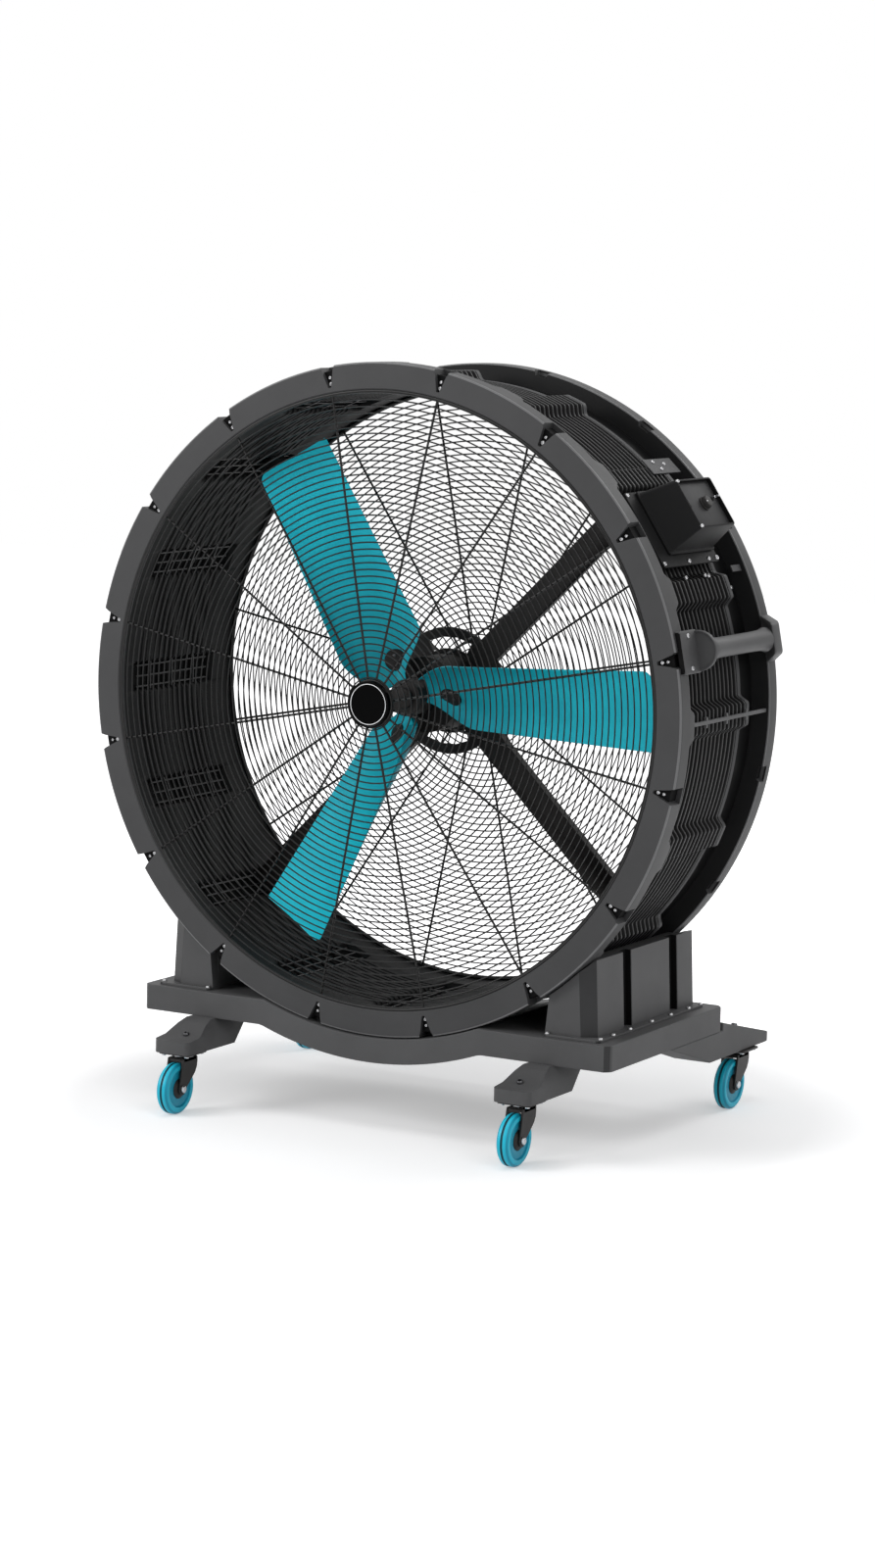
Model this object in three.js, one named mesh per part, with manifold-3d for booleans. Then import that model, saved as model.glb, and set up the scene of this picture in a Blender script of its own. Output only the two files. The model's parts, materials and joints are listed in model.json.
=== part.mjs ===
// Drum fan on casters: a wide ribbed drum on two pedestals over a wheeled tray, with a three-blade rotor.
// Millimetres, +Z up. The air leaves towards -Y. The origin is on the floor, below the middle of the fan.
import * as THREE from 'three';
import { mergeVertices } from 'three/addons/utils/BufferGeometryUtils.js';
import Module from 'manifold-3d';

const wasm = await Module();
wasm.setup();

const deg = Math.PI / 180;

// Fits and tools
const seatGap = 0.3; // between pieces that touch
const cutOverrun = 4; // how far a cutting tool passes the piece it cuts
const weldTolerance = 0.001; // points closer than this are one point

// Drum: depths are measured back from the front face, heights from the drum's axis
const drumDepth = 533;
const frontRadius = 800;
const rearStep = 8;
const ringWidth = 64;
const ringFaceThickness = 16;
const ringBandDepth = 48;
const rearBandDepth = 42;
const ringBandWall = 5;
const ringChamfer = 4;

// Barrel between the rings: sixteen raised columns and a band of ribs round it
const columnCount = 16;
const columnHalfAngle = 4.5;
const columnFootAngle = 7;
const columnRise = 22;
const barrelSetback = 1;
const collarWall = 7;
const ribRise = 18;
const ribDepth = 10;
const ribPitch = 21;
const ribsStart = 76;
const rearCollar = 30;
const rearNeck = 71;
const columnFade = 12;
const flangeThickness = 5;
const flangeInset = 4;

// Notches in the rings' outer edges, with a screw pocket at the foot of each
const notchMouth = 32;
const notchWaist = 22;
const notchFoot = 13;
const notchDepth = 12;
const pocketDepth = 37;
const pocketFloor = 10;

// Guards: round bars held by sixteen spokes, the front one dished forwards
const guardThickness = 6;
const guardRecess = 2;
const guardHubRadius = 62;
const frontBarCount = 11;
const rearBarCount = 7;
const guardDish = 30;
const guardSlot = 25;
const guardRim = 16;
const spokeWidth = 8;
const badgeRadius = 56;
const badgeThickness = 10.7;

// Motor bracket: four flanged arms and a windowed ring
const bracketSetback = 188;
const bracketPlate = 6;
const armWidth = 62;
const armFlangeDepth = 28;
const armFlangeWall = 4;
const armAngles = [45, 135, 225, 315];
const bracketRingRadius = 156;
const windowOuterRadius = 132;
const windowInnerRadius = 104;
const windowHalfAngle = 27;
const armEndDepth = 36;
const armEndWall = 5;

// Motor
const motorRadius = 92;
const motorLength = 115;
const motorWall = 6;
const motorNoseWall = 14;
const motorChamfer = 5;
const coverRadius = 98;
const coverThickness = 7.4;
const bearingBossRadius = 40;
const bearingRadius = 31;
const bearingWidth = 12;
const shaftRadius = 19;
const statorBore = 58;
const statorLength = 78;
const statorSetback = 21;
const airGap = 0.6;

// Hub and blades: a blade's edges lie in its plane, and its middle is set back from them
const hubMotorGap = 12;
const hubLength = 80;
const hubRadius = 44;
const hubCapRadius = 26;
const hubCapLength = 12;
const bladeSetback = 22;
const bladeCount = 3;
const bladePhase = 1;
const bladeRootRadius = 60;
const bladeFlatEnd = 150;
const bladeTipGap = 81;
const bladeRootLead = 58;
const bladeRootTrail = 50;
const bladeFullLead = 87;
const bladeFullTrail = 75;
const bladeTipLead = 100;
const bladeTipTrail = 93;
const bladeRootPitch = 40;
const bladeTipPitch = 10;
const bladeRootThickness = 12;
const bladeTipThickness = 7;
const bladeSeatLead = 20;
const bladeSeatTrail = 50;
const bladeSeatRise = 30;
const bladeTipMiddle = 40;
const bladeTipRise = 8;
const bladeStations = 6;
const bladePadWidth = 60;
const bladePadThickness = 14;
const bladePadStart = 34;
const clampRadius = 25;
const clampThickness = 5;
const clampCentre = 100;

// Handle on the side of the control box
const handleAngle = 11.25;
const handleShift = 15;
const handleRise = 34;
const gripRadius = 23;
const gripEndRadius = 25;
const gripTaper = 60;
const handlePlateHalf = 50;
const handlePlateStart = 12;
const handlePlateThickness = 11.7;
const handlePlateLength = 84;
const handleTongueThickness = 10;
const handleTongueHalf = 47;
const handleLegHalf = 56;
const handleLegTopHalf = 37;
const handleLegLength = 50;
const handleLegSweep = 92;
const handleLegOverlap = 8;

// Bars over the barrel's seams
const seamBar = 9;
const seamStart = 64;
const seamCrossCount = 3;
const seamCrossLength = 26;

// Control box
const boxAngle = 33.75;
const boxPlateThickness = 6;
const boxPlateStart = 98;
const boxPlateEnd = 388;
const boxPlateLow = -97;
const boxPlateHigh = 112;
const boxFootStart = 150;
const boxFootEnd = 378;
const boxFootLow = -60;
const boxFootHigh = 100;
const boxTopStart = 185;
const boxTopEnd = 366;
const boxTopLow = -44;
const boxTopHigh = 84;
const boxRise = 90;
const boxWall = 5;
const boxFloor = 4;
const panelSink = 10;
const panelThickness = 4;
const controlLine = 20;
const knobInset = 82;
const knobRadius = 17.5;
const knobHeight = 15;
const knobSkirt = 3;
const switchGap = 38.5; // from the knob's edge to the switch's middle
const switchOffset = 12;
const switchBushRadius = 5.5;
const switchBushHeight = 4;
const leverBall = 3.5;
const leverRadius = 2.6;
const leverLength = 11;
const leverLean = 12;
const glandRadius = 8;
const glandNutRadius = 12;
const glandNutLength = 5;
const glandLength = 24;
const glandRise = 34;
const boardLength = 150;
const boardWidth = 96;
const boardThickness = 3;
const boardLegs = 6;
const boardSinkLength = 80;
const boardSinkWidth = 60;
const boardSinkHeight = 34;

// Tray
const trayShelf = 57;
const trayFront = -8;
const trayBehind = 67;
const trayTop = 282;
const trayBottom = 220;
const troughGap = 2.5;
const troughDepth = 56.5;
const bellyRadius = 863;
const bellyDepth = 55;
const trayWall = 8;
const trayChamfer = 14;
const trayCellsAcross = 8;
const trayCellsDeep = 4;
const troughSteps = 7;

// Pedestals
const pedestalShare = 0.5775; // the inner face's place, as a share of the drum's radius
const pedestalWidth = 128;
const pedestalLean = 9;
const pedestalShoulder = 44; // how far the outer top corner is cut down
const pedestalChamferWidth = 33;
const pedestalChamferDepth = 21;
const pedestalStart = 22;
const pedestalTail = 15; // how far it passes the drum at the back
const pedestalWall = 6;
const pedestalCells = 3;
const flangeReach = 22;
const flangeMargin = 14;
const flangeHeight = 6;
const grooveWidth = 37;
const grooveDepth = 18;
const grooveShares = [0.34, 0.8];
const ringClearance = 3;

// Feet
const frontFootOffset = 7;
const footWidth = 100;
const footTip = 32;
const frontFootEnd = -150;
const frontPadEnd = -104;
const frontPadRise = 37;
const frontNeckEnd = -58;
const frontNeckRise = 60;
const frontHeel = 58;
const frontHeelTop = 120;
const rearFootReach = 262;
const rearTipTop = 26;
const rearRampTop = 86;
const rearRampInset = 14;
const rearHeelInset = 64;
const rearHeelTopInset = 286;

// Casters
const frontSwivel = -96;
const rearSwivelReach = 152;
const rearWheelOffset = 15;
const trail = 32;
const wheelRadius = 62.5;
const wheelHeadroom = 2.4;
const wheelWidth = 32;
const treadWidth = 18;
const treadChamfer = 5.5;
const wheelHubRadius = 23;
const wheelHubWidth = 37;
const axleRadius = 5;
const axleBore = 5.5;
const axleHeadRadius = 9;
const axleHeadLength = 6;
const forkGap = 38;
const forkLeg = 4;
const forkCrown = 9;
const forkHalfLength = 31;
const forkBoss = 15;
const forkShoulder = 20;
const casterPlate = 86;
const casterPlateThickness = 5;
const raceRadius = 28;
const raceHeight = 8;

// Faces round a circle
const wheelSides = 20;
const motorSides = 28;
const smallSides = 12;

const finishes = {
  shell: { color: 0x3d3e40, roughness: 0.62, metalness: 0.05 },
  barrel: { color: 0x1b1c1d, roughness: 0.55, metalness: 0.05 },
  wire: { color: 0x141414, roughness: 0.4, metalness: 0.5 },
  badge: { color: 0x080808, roughness: 0.2, metalness: 0.1 },
  bracket: { color: 0x242424, roughness: 0.5, metalness: 0.4 },
  blade: { color: 0x1a9db2, roughness: 0.45, metalness: 0.05 },
  black: { color: 0x1c1b1b, roughness: 0.5, metalness: 0.1 },
  steel: { color: 0x9a9c9f, roughness: 0.3, metalness: 1 },
  copper: { color: 0x8c5a34, roughness: 0.5, metalness: 0.6 },
  board: { color: 0x1f4a2c, roughness: 0.6, metalness: 0.1 },
  tyre: { color: 0x27a9c6, roughness: 0.4, metalness: 0 },
};

function piece(name, geometry, finish) {
  const material = new THREE.MeshStandardMaterial({ ...finishes[finish], flatShading: true });
  const mesh = new THREE.Mesh(geometry, material);
  mesh.name = name;
  return mesh;
}

// Shared points merged, triangles without area dropped, faces turned outwards
function closed(geometry) {
  const bare = geometry.clone();
  bare.deleteAttribute('normal');
  bare.deleteAttribute('uv');
  const merged = mergeVertices(bare, weldTolerance);
  const { array } = merged.index;
  const triangles = [];
  for (let i = 0; i < array.length; i += 3) {
    const [a, b, c] = [array[i], array[i + 1], array[i + 2]];
    if (a !== b && b !== c && c !== a) {
      triangles.push([a, b, c]);
    }
  }
  const corner = (i) => new THREE.Vector3().fromBufferAttribute(merged.attributes.position, i);
  const volume = triangles.reduce((sum, [a, b, c]) => sum + corner(a).dot(corner(b).cross(corner(c))), 0);
  merged.setIndex(triangles.flatMap(([a, b, c]) => (volume < 0 ? [a, c, b] : [a, b, c])));
  return merged;
}

function solid(geometry) {
  const merged = closed(geometry);
  const vertProperties = new Float32Array(merged.attributes.position.array);
  const triVerts = new Uint32Array(merged.index.array);
  return new wasm.Manifold(new wasm.Mesh({ numProp: 3, vertProperties, triVerts }));
}

function skin(manifold) {
  const mesh = manifold.getMesh();
  const geometry = new THREE.BufferGeometry();
  geometry.setAttribute('position', new THREE.BufferAttribute(Float32Array.from(mesh.vertProperties), 3));
  geometry.setIndex(new THREE.BufferAttribute(Uint32Array.from(mesh.triVerts), 1));
  return geometry;
}

function joined(geometries) {
  return skin(geometries.map(solid).reduce((whole, next) => whole.add(next)));
}

function cut(geometry, tools) {
  return skin(tools.map(solid).reduce((whole, next) => whole.subtract(next), solid(geometry)));
}

// Sizes that follow from the ones above
const rearRadius = frontRadius - rearStep;
const openingRadius = frontRadius - ringWidth;
const barrelInnerRadius = openingRadius + barrelSetback;
const ribRadius = barrelInnerRadius + ribRise;
const bladeTipRadius = openingRadius - bladeTipGap;
const handleCentre = frontRadius + handleRise;
const rearFace = drumDepth - rearBandDepth;
const troughRadius = frontRadius + troughGap;
const axisHeight = trayTop - troughDepth + troughRadius;
const bracketDepth = drumDepth - bracketSetback;
const collarEnd = rearFace - rearNeck;
const ribsEnd = collarEnd - rearCollar;
const pedestalEnd = drumDepth + pedestalTail;
const pedestalInner = frontRadius * pedestalShare;
const pedestalOuter = pedestalInner + pedestalWidth;
const trayHalfWidth = pedestalOuter + trayShelf;
const frontFootCentre = pedestalInner + frontFootOffset;
const rearFootCentre = trayHalfWidth - footWidth / 2;
const trayRear = drumDepth + trayBehind;
const rearFootEnd = trayRear + rearFootReach;
const rearSwivel = trayRear + rearSwivelReach;
const knobDepth = boxTopEnd - knobInset;
const switchDepth = knobDepth + knobRadius + switchGap;
const casterHead = forkCrown + raceHeight + casterPlateThickness + 2 * seatGap;
const footHeight = 2 * wheelRadius + wheelHeadroom + casterHead;

function outline(points, holes = []) {
  const shape = new THREE.Shape(points.map(([x, y]) => new THREE.Vector2(x, y)));
  shape.holes = holes.map((hole) => new THREE.Path(hole.map(([x, y]) => new THREE.Vector2(x, y))));
  return shape;
}

// An outline of [x, z] points pushed along Y
function alongY(points, from, to, holes) {
  const options = { depth: to - from, bevelEnabled: false };
  return new THREE.ExtrudeGeometry(outline(points, holes), options).rotateX(90 * deg).translate(0, to, 0);
}

// An outline of [y, z] points pushed along X
function alongX(points, from, to, holes) {
  const options = { depth: to - from, bevelEnabled: false };
  const geometry = new THREE.ExtrudeGeometry(outline(points, holes), options);
  return geometry.rotateX(90 * deg).rotateZ(90 * deg).translate(from, 0, 0);
}

function block([x0, x1], [y0, y1], [z0, z1]) {
  const geometry = new THREE.BoxGeometry(x1 - x0, y1 - y0, z1 - z0);
  return geometry.translate((x0 + x1) / 2, (y0 + y1) / 2, (z0 + z1) / 2);
}

// A block whose two Y ends, or two X ends, are rectangles of their own
function taper(axis, low, high) {
  const corner = (end, at) => [[0, 0], [1, 0], [1, 1], [0, 1]].map(([i, j]) => {
    const [p, q] = [end[0][i], end[1][j]];
    return axis === 'y' ? [p, at, q] : [at, p, q];
  });
  const points = [...corner(low.slice(1), low[0]), ...corner(high.slice(1), high[0])];
  const quads = [[0, 1, 2, 3], [7, 6, 5, 4], [0, 4, 5, 1], [1, 5, 6, 2], [2, 6, 7, 3], [3, 7, 4, 0]];
  return meshOf(points, quads.flatMap(([a, b, c, d]) => [a, b, c, a, c, d]));
}

function meshOf(points, index) {
  const geometry = new THREE.BufferGeometry();
  geometry.setAttribute('position', new THREE.Float32BufferAttribute(points.flat(), 3));
  geometry.setIndex(index);
  return closed(geometry);
}

// A closed profile of [radius, y] points turned round the Y axis
function turned(profile, sides) {
  const points = [...profile, profile[0]].map(([radius, y]) => new THREE.Vector2(radius, y));
  return closed(new THREE.LatheGeometry(points, sides));
}

function tube(inner, outer, from, to, sides) {
  return turned([[inner, from], [outer, from], [outer, to], [inner, to]], sides);
}

function rod(radius, from, to, sides) {
  const geometry = new THREE.CylinderGeometry(radius, radius, to - from, sides);
  return closed(geometry.translate(0, (from + to) / 2, 0));
}

// Turns a piece made on the +X side of the drum to its own angle
function aroundDrum(geometry, angle) {
  return geometry.rotateY(-angle * deg);
}

const columnAngle = 360 / columnCount;

// The drum's facets: four edges for each column, with the columns' tops and the walls between them flat
const drumEdges = Array.from({ length: columnCount }, (_, i) => [
  { angle: i * columnAngle - columnFootAngle, raised: 0 },
  { angle: i * columnAngle - columnHalfAngle, raised: 1 },
  { angle: i * columnAngle + columnHalfAngle, raised: 1 },
  { angle: i * columnAngle + columnFootAngle, raised: 0 },
]).flat();

// A closed profile of [radius, depth, share of the columns' rise] turned round the drum
function drumShell(profile) {
  const points = [];
  const index = [];
  drumEdges.forEach(({ angle, raised }, i) => {
    profile.forEach(([radius, depth, riseShare = 0], j) => {
      const reach = radius + columnRise * raised * riseShare;
      points.push([reach * Math.cos(angle * deg), depth, reach * Math.sin(angle * deg)]);
      const [here, there] = [i, (i + 1) % drumEdges.length].map((k) => k * profile.length + j);
      const step = j + 1 < profile.length ? 1 : 1 - profile.length;
      index.push(here, there, here + step, there, there + step, here + step);
    });
  });
  return meshOf(points, index);
}

// Distance from the axis to the flat between two columns, and to the flat top of a column
const wallFlat = (radius) => radius * Math.cos((columnAngle / 2 - columnFootAngle) * deg);
const columnFlat = (radius) => radius * Math.cos(columnHalfAngle * deg);
const notchAngles = Array.from({ length: columnCount }, (_, i) => (i + 1 / 2) * columnAngle);

// Rings: each notch is a mouth through the band with a shallow pocket below it
function notchTools(radius, face, band) {
  const waist = radius - notchDepth;
  const spread = (notchMouth - notchWaist) / notchDepth * cutOverrun;
  const edges = (steps) => [
    ...steps.map(([reach, width]) => [reach, -width / 2]),
    ...steps.map(([reach, width]) => [reach, width / 2]).reverse(),
  ];
  const mouth = edges([[waist, notchWaist], [radius + cutOverrun, notchMouth + spread]]);
  const pocket = edges([
    [waist - pocketDepth, notchFoot],
    [waist, notchWaist],
    [waist + cutOverrun, notchFoot],
  ]);
  return notchAngles.flatMap((angle) => [
    aroundDrum(alongY(mouth, face - cutOverrun, face + band - ringChamfer), angle),
    aroundDrum(alongY(pocket, face - cutOverrun, face + pocketFloor), angle),
  ]);
}

function drumRing(radius, face, band) {
  return cut(drumShell([
    [openingRadius, face],
    [radius - ringChamfer, face],
    [radius, face + ringChamfer],
    [radius, face + band],
    [radius - ringBandWall, face + band],
    [radius - ringBandWall, face + ringFaceThickness],
    [openingRadius, face + ringFaceThickness],
  ]), notchTools(radius, face, band));
}

// Barrel
function barrelShell() {
  const collar = barrelInnerRadius + collarWall;
  const start = ringFaceThickness + seatGap;
  const end = rearFace - seatGap;
  const flangeAt = ringBandDepth - flangeInset - flangeThickness;
  const flangeRadius = frontRadius - ringBandWall - seatGap;
  const ribCount = Math.floor((ribsEnd - ribsStart) / ribPitch);
  const pitch = (ribsEnd - ribsStart) / ribCount;
  const ribs = Array.from({ length: ribCount }, (_, i) => ribsStart + i * pitch).flatMap((depth) => [
    [ribRadius, depth, 1],
    [ribRadius - ribDepth, depth + pitch / 2, 1],
  ]);
  return drumShell([
    [collar, start],
    [collar, flangeAt],
    [flangeRadius, flangeAt],
    [flangeRadius, flangeAt + flangeThickness],
    [collar, flangeAt + flangeThickness],
    [collar, ribsStart - columnFade],
    ...ribs,
    [ribRadius, ribsEnd, 1],
    [ribRadius, collarEnd - columnFade, 1],
    [collar, collarEnd],
    [collar, end],
    [barrelInnerRadius, end],
    [barrelInnerRadius, collarEnd],
    [barrelInnerRadius, collarEnd - columnFade, 1],
    [barrelInnerRadius, ribsStart, 1],
    [barrelInnerRadius, ribsStart - columnFade],
    [barrelInnerRadius, start],
  ]);
}

// Guards
function guard(from, barCount, dish) {
  const rimRadius = openingRadius - seatGap;
  const rim = drumEdges.map(({ angle }) => [
    rimRadius * Math.cos(angle * deg),
    rimRadius * Math.sin(angle * deg),
  ]);
  const pitch = (openingRadius - guardRim - guardHubRadius) / barCount;
  const slot = (angle, inner) => {
    const corner = (radius, side) => {
      const turn = (angle + side * columnAngle / 2) * deg - side * Math.asin(spokeWidth / 2 / radius);
      return [radius * Math.cos(turn), radius * Math.sin(turn)];
    };
    return [corner(inner, -1), corner(inner + guardSlot, -1), corner(inner + guardSlot, 1), corner(inner, 1)];
  };
  const slots = notchAngles.flatMap((angle) => (
    Array.from({ length: barCount }, (_, i) => slot(angle + columnAngle / 2, guardHubRadius + i * pitch))
  ));
  const [start, end] = [from - cutOverrun, from + guardThickness + cutOverrun];
  const flat = cut(alongY(rim, from, from + guardThickness), slots.map((edge) => alongY(edge, start, end)));
  const points = flat.attributes.position;
  for (let i = 0; i < points.count; i += 1) {
    const radius = Math.max(guardHubRadius, Math.hypot(points.getX(i), points.getZ(i)));
    points.setY(i, points.getY(i) - dish * Math.max(0, rimRadius - radius) / (rimRadius - guardHubRadius));
  }
  return flat;
}

// Motor bracket
function motorBracket() {
  const from = bracketDepth;
  const to = bracketDepth + bracketPlate;
  const reach = columnFlat(barrelInnerRadius + columnRise) - seatGap;
  const arms = armAngles.flatMap((angle) => [
    block([windowInnerRadius, reach], [from, to], [-armWidth / 2, armWidth / 2]),
    ...[-1, 1].map((side) => {
      const z = side * (armWidth - armFlangeWall) / 2;
      const wall = [z - armFlangeWall / 2, z + armFlangeWall / 2];
      return block([windowInnerRadius, reach], [from, from + armFlangeDepth], wall);
    }),
    block([reach - armEndWall, reach], [from, from + armEndDepth], [-armWidth / 2, armWidth / 2]),
  ].map((arm) => aroundDrum(arm, angle)));
  const plate = rod(bracketRingRadius, from, to, motorSides);
  const windows = armAngles.map((angle) => {
    const steps = [-1, -1 / 3, 1 / 3, 1];
    const arc = (radius, turns) => turns.map((t) => {
      const turn = (angle + columnAngle * 2 + t * windowHalfAngle) * deg;
      return [radius * Math.cos(turn), radius * Math.sin(turn)];
    });
    const edge = [...arc(windowOuterRadius, steps), ...arc(windowInnerRadius, steps.slice().reverse())];
    return alongY(edge, from - cutOverrun, to + cutOverrun);
  });
  return joined([cut(plate, windows), ...arms]);
}

// Motor
const motorRear = bracketDepth - seatGap;
const coverFront = motorRear - coverThickness;
const motorFront = coverFront - seatGap - motorLength;
const rearBearingEnd = coverFront - seatGap;
const shaftClear = shaftRadius + seatGap;
const statorStart = motorFront + statorSetback;
const hubFront = motorFront - hubMotorGap - hubLength;
const bladeDepth = hubFront + bladeSetback;

function motorShell() {
  const end = motorFront + motorLength;
  return turned([
    [bearingRadius + seatGap, motorFront],
    [motorRadius - motorChamfer, motorFront],
    [motorRadius, motorFront + motorChamfer],
    [motorRadius, end],
    [motorRadius - motorWall, end],
    [motorRadius - motorWall, motorFront + motorNoseWall],
    [bearingRadius + seatGap, motorFront + motorNoseWall],
  ], motorSides);
}

function motorCover() {
  const bossStart = rearBearingEnd - bearingWidth;
  return closed(new THREE.LatheGeometry([
    [0, motorRear],
    [coverRadius, motorRear],
    [coverRadius, coverFront],
    [bearingBossRadius, coverFront],
    [bearingBossRadius, bossStart],
    [bearingRadius + seatGap, bossStart],
    [bearingRadius + seatGap, coverFront],
    [0, coverFront],
  ].map(([radius, y]) => new THREE.Vector2(radius, y)), motorSides));
}

// Hub and blades: a blade is made along +X, its leading edge towards +Z and forward
function bladeSection(radius, lead, trail) {
  const share = Math.max(0, (radius - bladeFlatEnd) / (bladeTipRadius - bladeFlatEnd));
  const between = (root, tip) => THREE.MathUtils.lerp(root, tip, share);
  const pitch = between(bladeRootPitch, bladeTipPitch) * deg;
  const thickness = between(bladeRootThickness, bladeTipThickness);
  const rise = between(bladeSeatRise, bladeTipRise);
  const stops = [
    [-trail / Math.cos(pitch), 0, 0.25],
    [-between(bladeSeatTrail, bladeTipMiddle), rise, 1],
    [between(bladeSeatLead, bladeTipMiddle), rise, 1],
    [lead / Math.cos(pitch), 0, 0.35],
  ];
  const side = (back) => stops.map(([along, lift, thicknessShare]) => {
    const off = lift + back * thicknessShare * thickness / 2;
    return [
      radius,
      bladeDepth - along * Math.sin(pitch) + off * Math.cos(pitch),
      along * Math.cos(pitch) + off * Math.sin(pitch),
    ];
  });
  return [...side(1), ...side(-1).reverse()];
}

function bladeShape() {
  const between = (root, tip, count) => Array.from({ length: count }, (_, i) => {
    const share = i / (count - 1);
    const [radius, lead, trail] = root.map((value, j) => THREE.MathUtils.lerp(value, tip[j], share));
    return bladeSection(radius, lead, trail);
  });
  const root = [bladeRootRadius, bladeRootLead, bladeRootTrail];
  const full = [bladeFlatEnd, bladeFullLead, bladeFullTrail];
  const tip = [bladeTipRadius, bladeTipLead, bladeTipTrail];
  const inner = between(root, full, bladeStations / 2).slice(0, -1);
  const sections = [...inner, ...between(full, tip, bladeStations)];
  const count = sections[0].length;
  const index = [];
  for (let i = 0; i + 1 < sections.length; i += 1) {
    for (let j = 0; j < count; j += 1) {
      const [a, b] = [i * count + j, i * count + (j + 1) % count];
      index.push(a, a + count, b, b, a + count, b + count);
    }
  }
  const last = (sections.length - 1) * count;
  for (let j = 0; j + 1 < count / 2; j += 1) {
    const [a, b, c, d] = [j, j + 1, count - 2 - j, count - 1 - j];
    index.push(a, b, c, a, c, d, last + a, last + c, last + b, last + a, last + d, last + c);
  }
  return meshOf(sections.flat(), index);
}

// Moves a piece made flat on the blade's set-back middle, with +Y behind the blade, into the root's pitch
function atBladeRoot(geometry) {
  const middle = (bladeSeatLead - bladeSeatTrail) / 2;
  const pitched = geometry.translate(0, bladeSeatRise, middle).rotateX(bladeRootPitch * deg);
  return pitched.translate(0, bladeDepth, 0);
}

const bladeAngles = Array.from({ length: bladeCount }, (_, i) => bladePhase + i * 360 / bladeCount);

function hubShape() {
  const back = bladeRootThickness / 2 + seatGap;
  const pad = () => atBladeRoot(block(
    [bladePadStart, bladeFlatEnd],
    [back, back + bladePadThickness],
    [-bladePadWidth / 2, bladePadWidth / 2],
  ));
  const core = rod(hubRadius, hubFront, hubFront + hubLength, motorSides);
  const whole = joined([core, ...bladeAngles.map((angle) => aroundDrum(pad(), angle))]);
  return cut(whole, [rod(shaftClear, hubFront - cutOverrun, hubFront + hubLength + cutOverrun, motorSides)]);
}

function bladeClamp() {
  const front = -bladeRootThickness / 2 - seatGap;
  const disc = rod(clampRadius, front - clampThickness, front, smallSides);
  return atBladeRoot(disc.translate(clampCentre, 0, 0));
}

// Handle, made at the drum's +X side
const frontSeat = wallFlat(frontRadius) + seatGap;
const rearSeat = wallFlat(rearRadius) + seatGap;
const handleOuter = handleCentre + gripEndRadius;
const gripStart = handlePlateStart + handlePlateLength + seatGap;
const gripEnd = drumDepth - handleLegSweep - handleLegLength;

function handleFrontBracket() {
  const end = handlePlateStart + handlePlateLength;
  const plate = block(
    [frontSeat, frontSeat + handlePlateThickness],
    [handlePlateStart, end],
    [-handlePlateHalf, handlePlateHalf],
  );
  const low = frontSeat + handlePlateThickness;
  const bend = gripEndRadius * Math.SQRT1_2;
  const upper = [
    [frontSeat + seatGap, handleTongueHalf],
    [low, handleTongueHalf],
    [handleCentre + bend, gripEndRadius],
    [handleOuter, gripEndRadius - bend],
  ];
  const tongue = [...upper, ...upper.map(([x, z]) => [x, -z]).reverse()];
  return joined([plate, alongY(tongue, end - handleTongueThickness, end - seatGap)]);
}

function handleRearBracket() {
  const legStart = drumDepth - handleLegLength;
  const leg = taper(
    'x',
    [rearSeat, [legStart, drumDepth], [-handleLegHalf, handleLegHalf]],
    [
      handleOuter,
      [legStart - handleLegSweep, drumDepth - handleLegSweep],
      [-handleLegTopHalf, handleLegTopHalf],
    ],
  );
  return cut(leg, [gripBar(gripStart, gripEnd + handleLegOverlap, seatGap)]);
}

function gripBar(from, to, clearance) {
  const profile = [
    [0, from],
    [gripEndRadius + clearance, from],
    [gripRadius + clearance, from + gripTaper],
    [gripRadius + clearance, to - gripTaper],
    [gripEndRadius + clearance, to],
    [0, to],
  ];
  const points = profile.map(([radius, y]) => new THREE.Vector2(radius, y));
  return closed(new THREE.LatheGeometry(points, smallSides)).translate(handleCentre, 0, 0);
}

// Bars over the barrel's seams
function seamBarShape() {
  const seat = columnFlat(ribRadius + columnRise) + seatGap;
  const end = rearFace - seatGap;
  const bar = block([seat, seat + seamBar], [seamStart, end], [-seamBar / 2, seamBar / 2]);
  const crosses = Array.from({ length: seamCrossCount }, (_, i) => {
    const depth = THREE.MathUtils.lerp(seamStart, end, (i + 1) / (seamCrossCount + 1));
    const reach = [-seamCrossLength / 2, seamCrossLength / 2];
    return block([seat, seat + seamBar], [depth - seamBar / 2, depth + seamBar / 2], reach);
  });
  return joined([bar, ...crosses]);
}

// Control box, made at the drum's +X side
const plateSeat = (ribRadius + columnRise) * Math.cos((columnAngle / 2 - columnHalfAngle) * deg) + seatGap;
const plateTop = plateSeat + boxPlateThickness;
const boxHeight = plateTop + boxRise;
const glandHeight = plateTop + glandRise;
const panelTop = boxHeight - panelSink;

// The box's section at a height, taken in by a wall
function boxSection(height, wall) {
  const share = (height - plateTop) / (boxHeight - plateTop);
  const between = (foot, top) => THREE.MathUtils.lerp(foot, top, share);
  return [
    height,
    [between(boxFootStart, boxTopStart) + wall, between(boxFootEnd, boxTopEnd) - wall],
    [between(boxFootLow, boxTopLow) + wall, between(boxFootHigh, boxTopHigh) - wall],
  ];
}

function controlBox() {
  const plate = block([plateSeat, plateTop], [boxPlateStart, boxPlateEnd], [boxPlateLow, boxPlateHigh]);
  const body = taper('x', boxSection(plateSeat + seatGap, 0), boxSection(boxHeight, 0));
  const floor = plateTop + boxFloor;
  const hollow = taper('x', boxSection(floor, boxWall), boxSection(boxHeight + cutOverrun, boxWall));
  return cut(joined([plate, body]), [hollow]);
}

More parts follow.
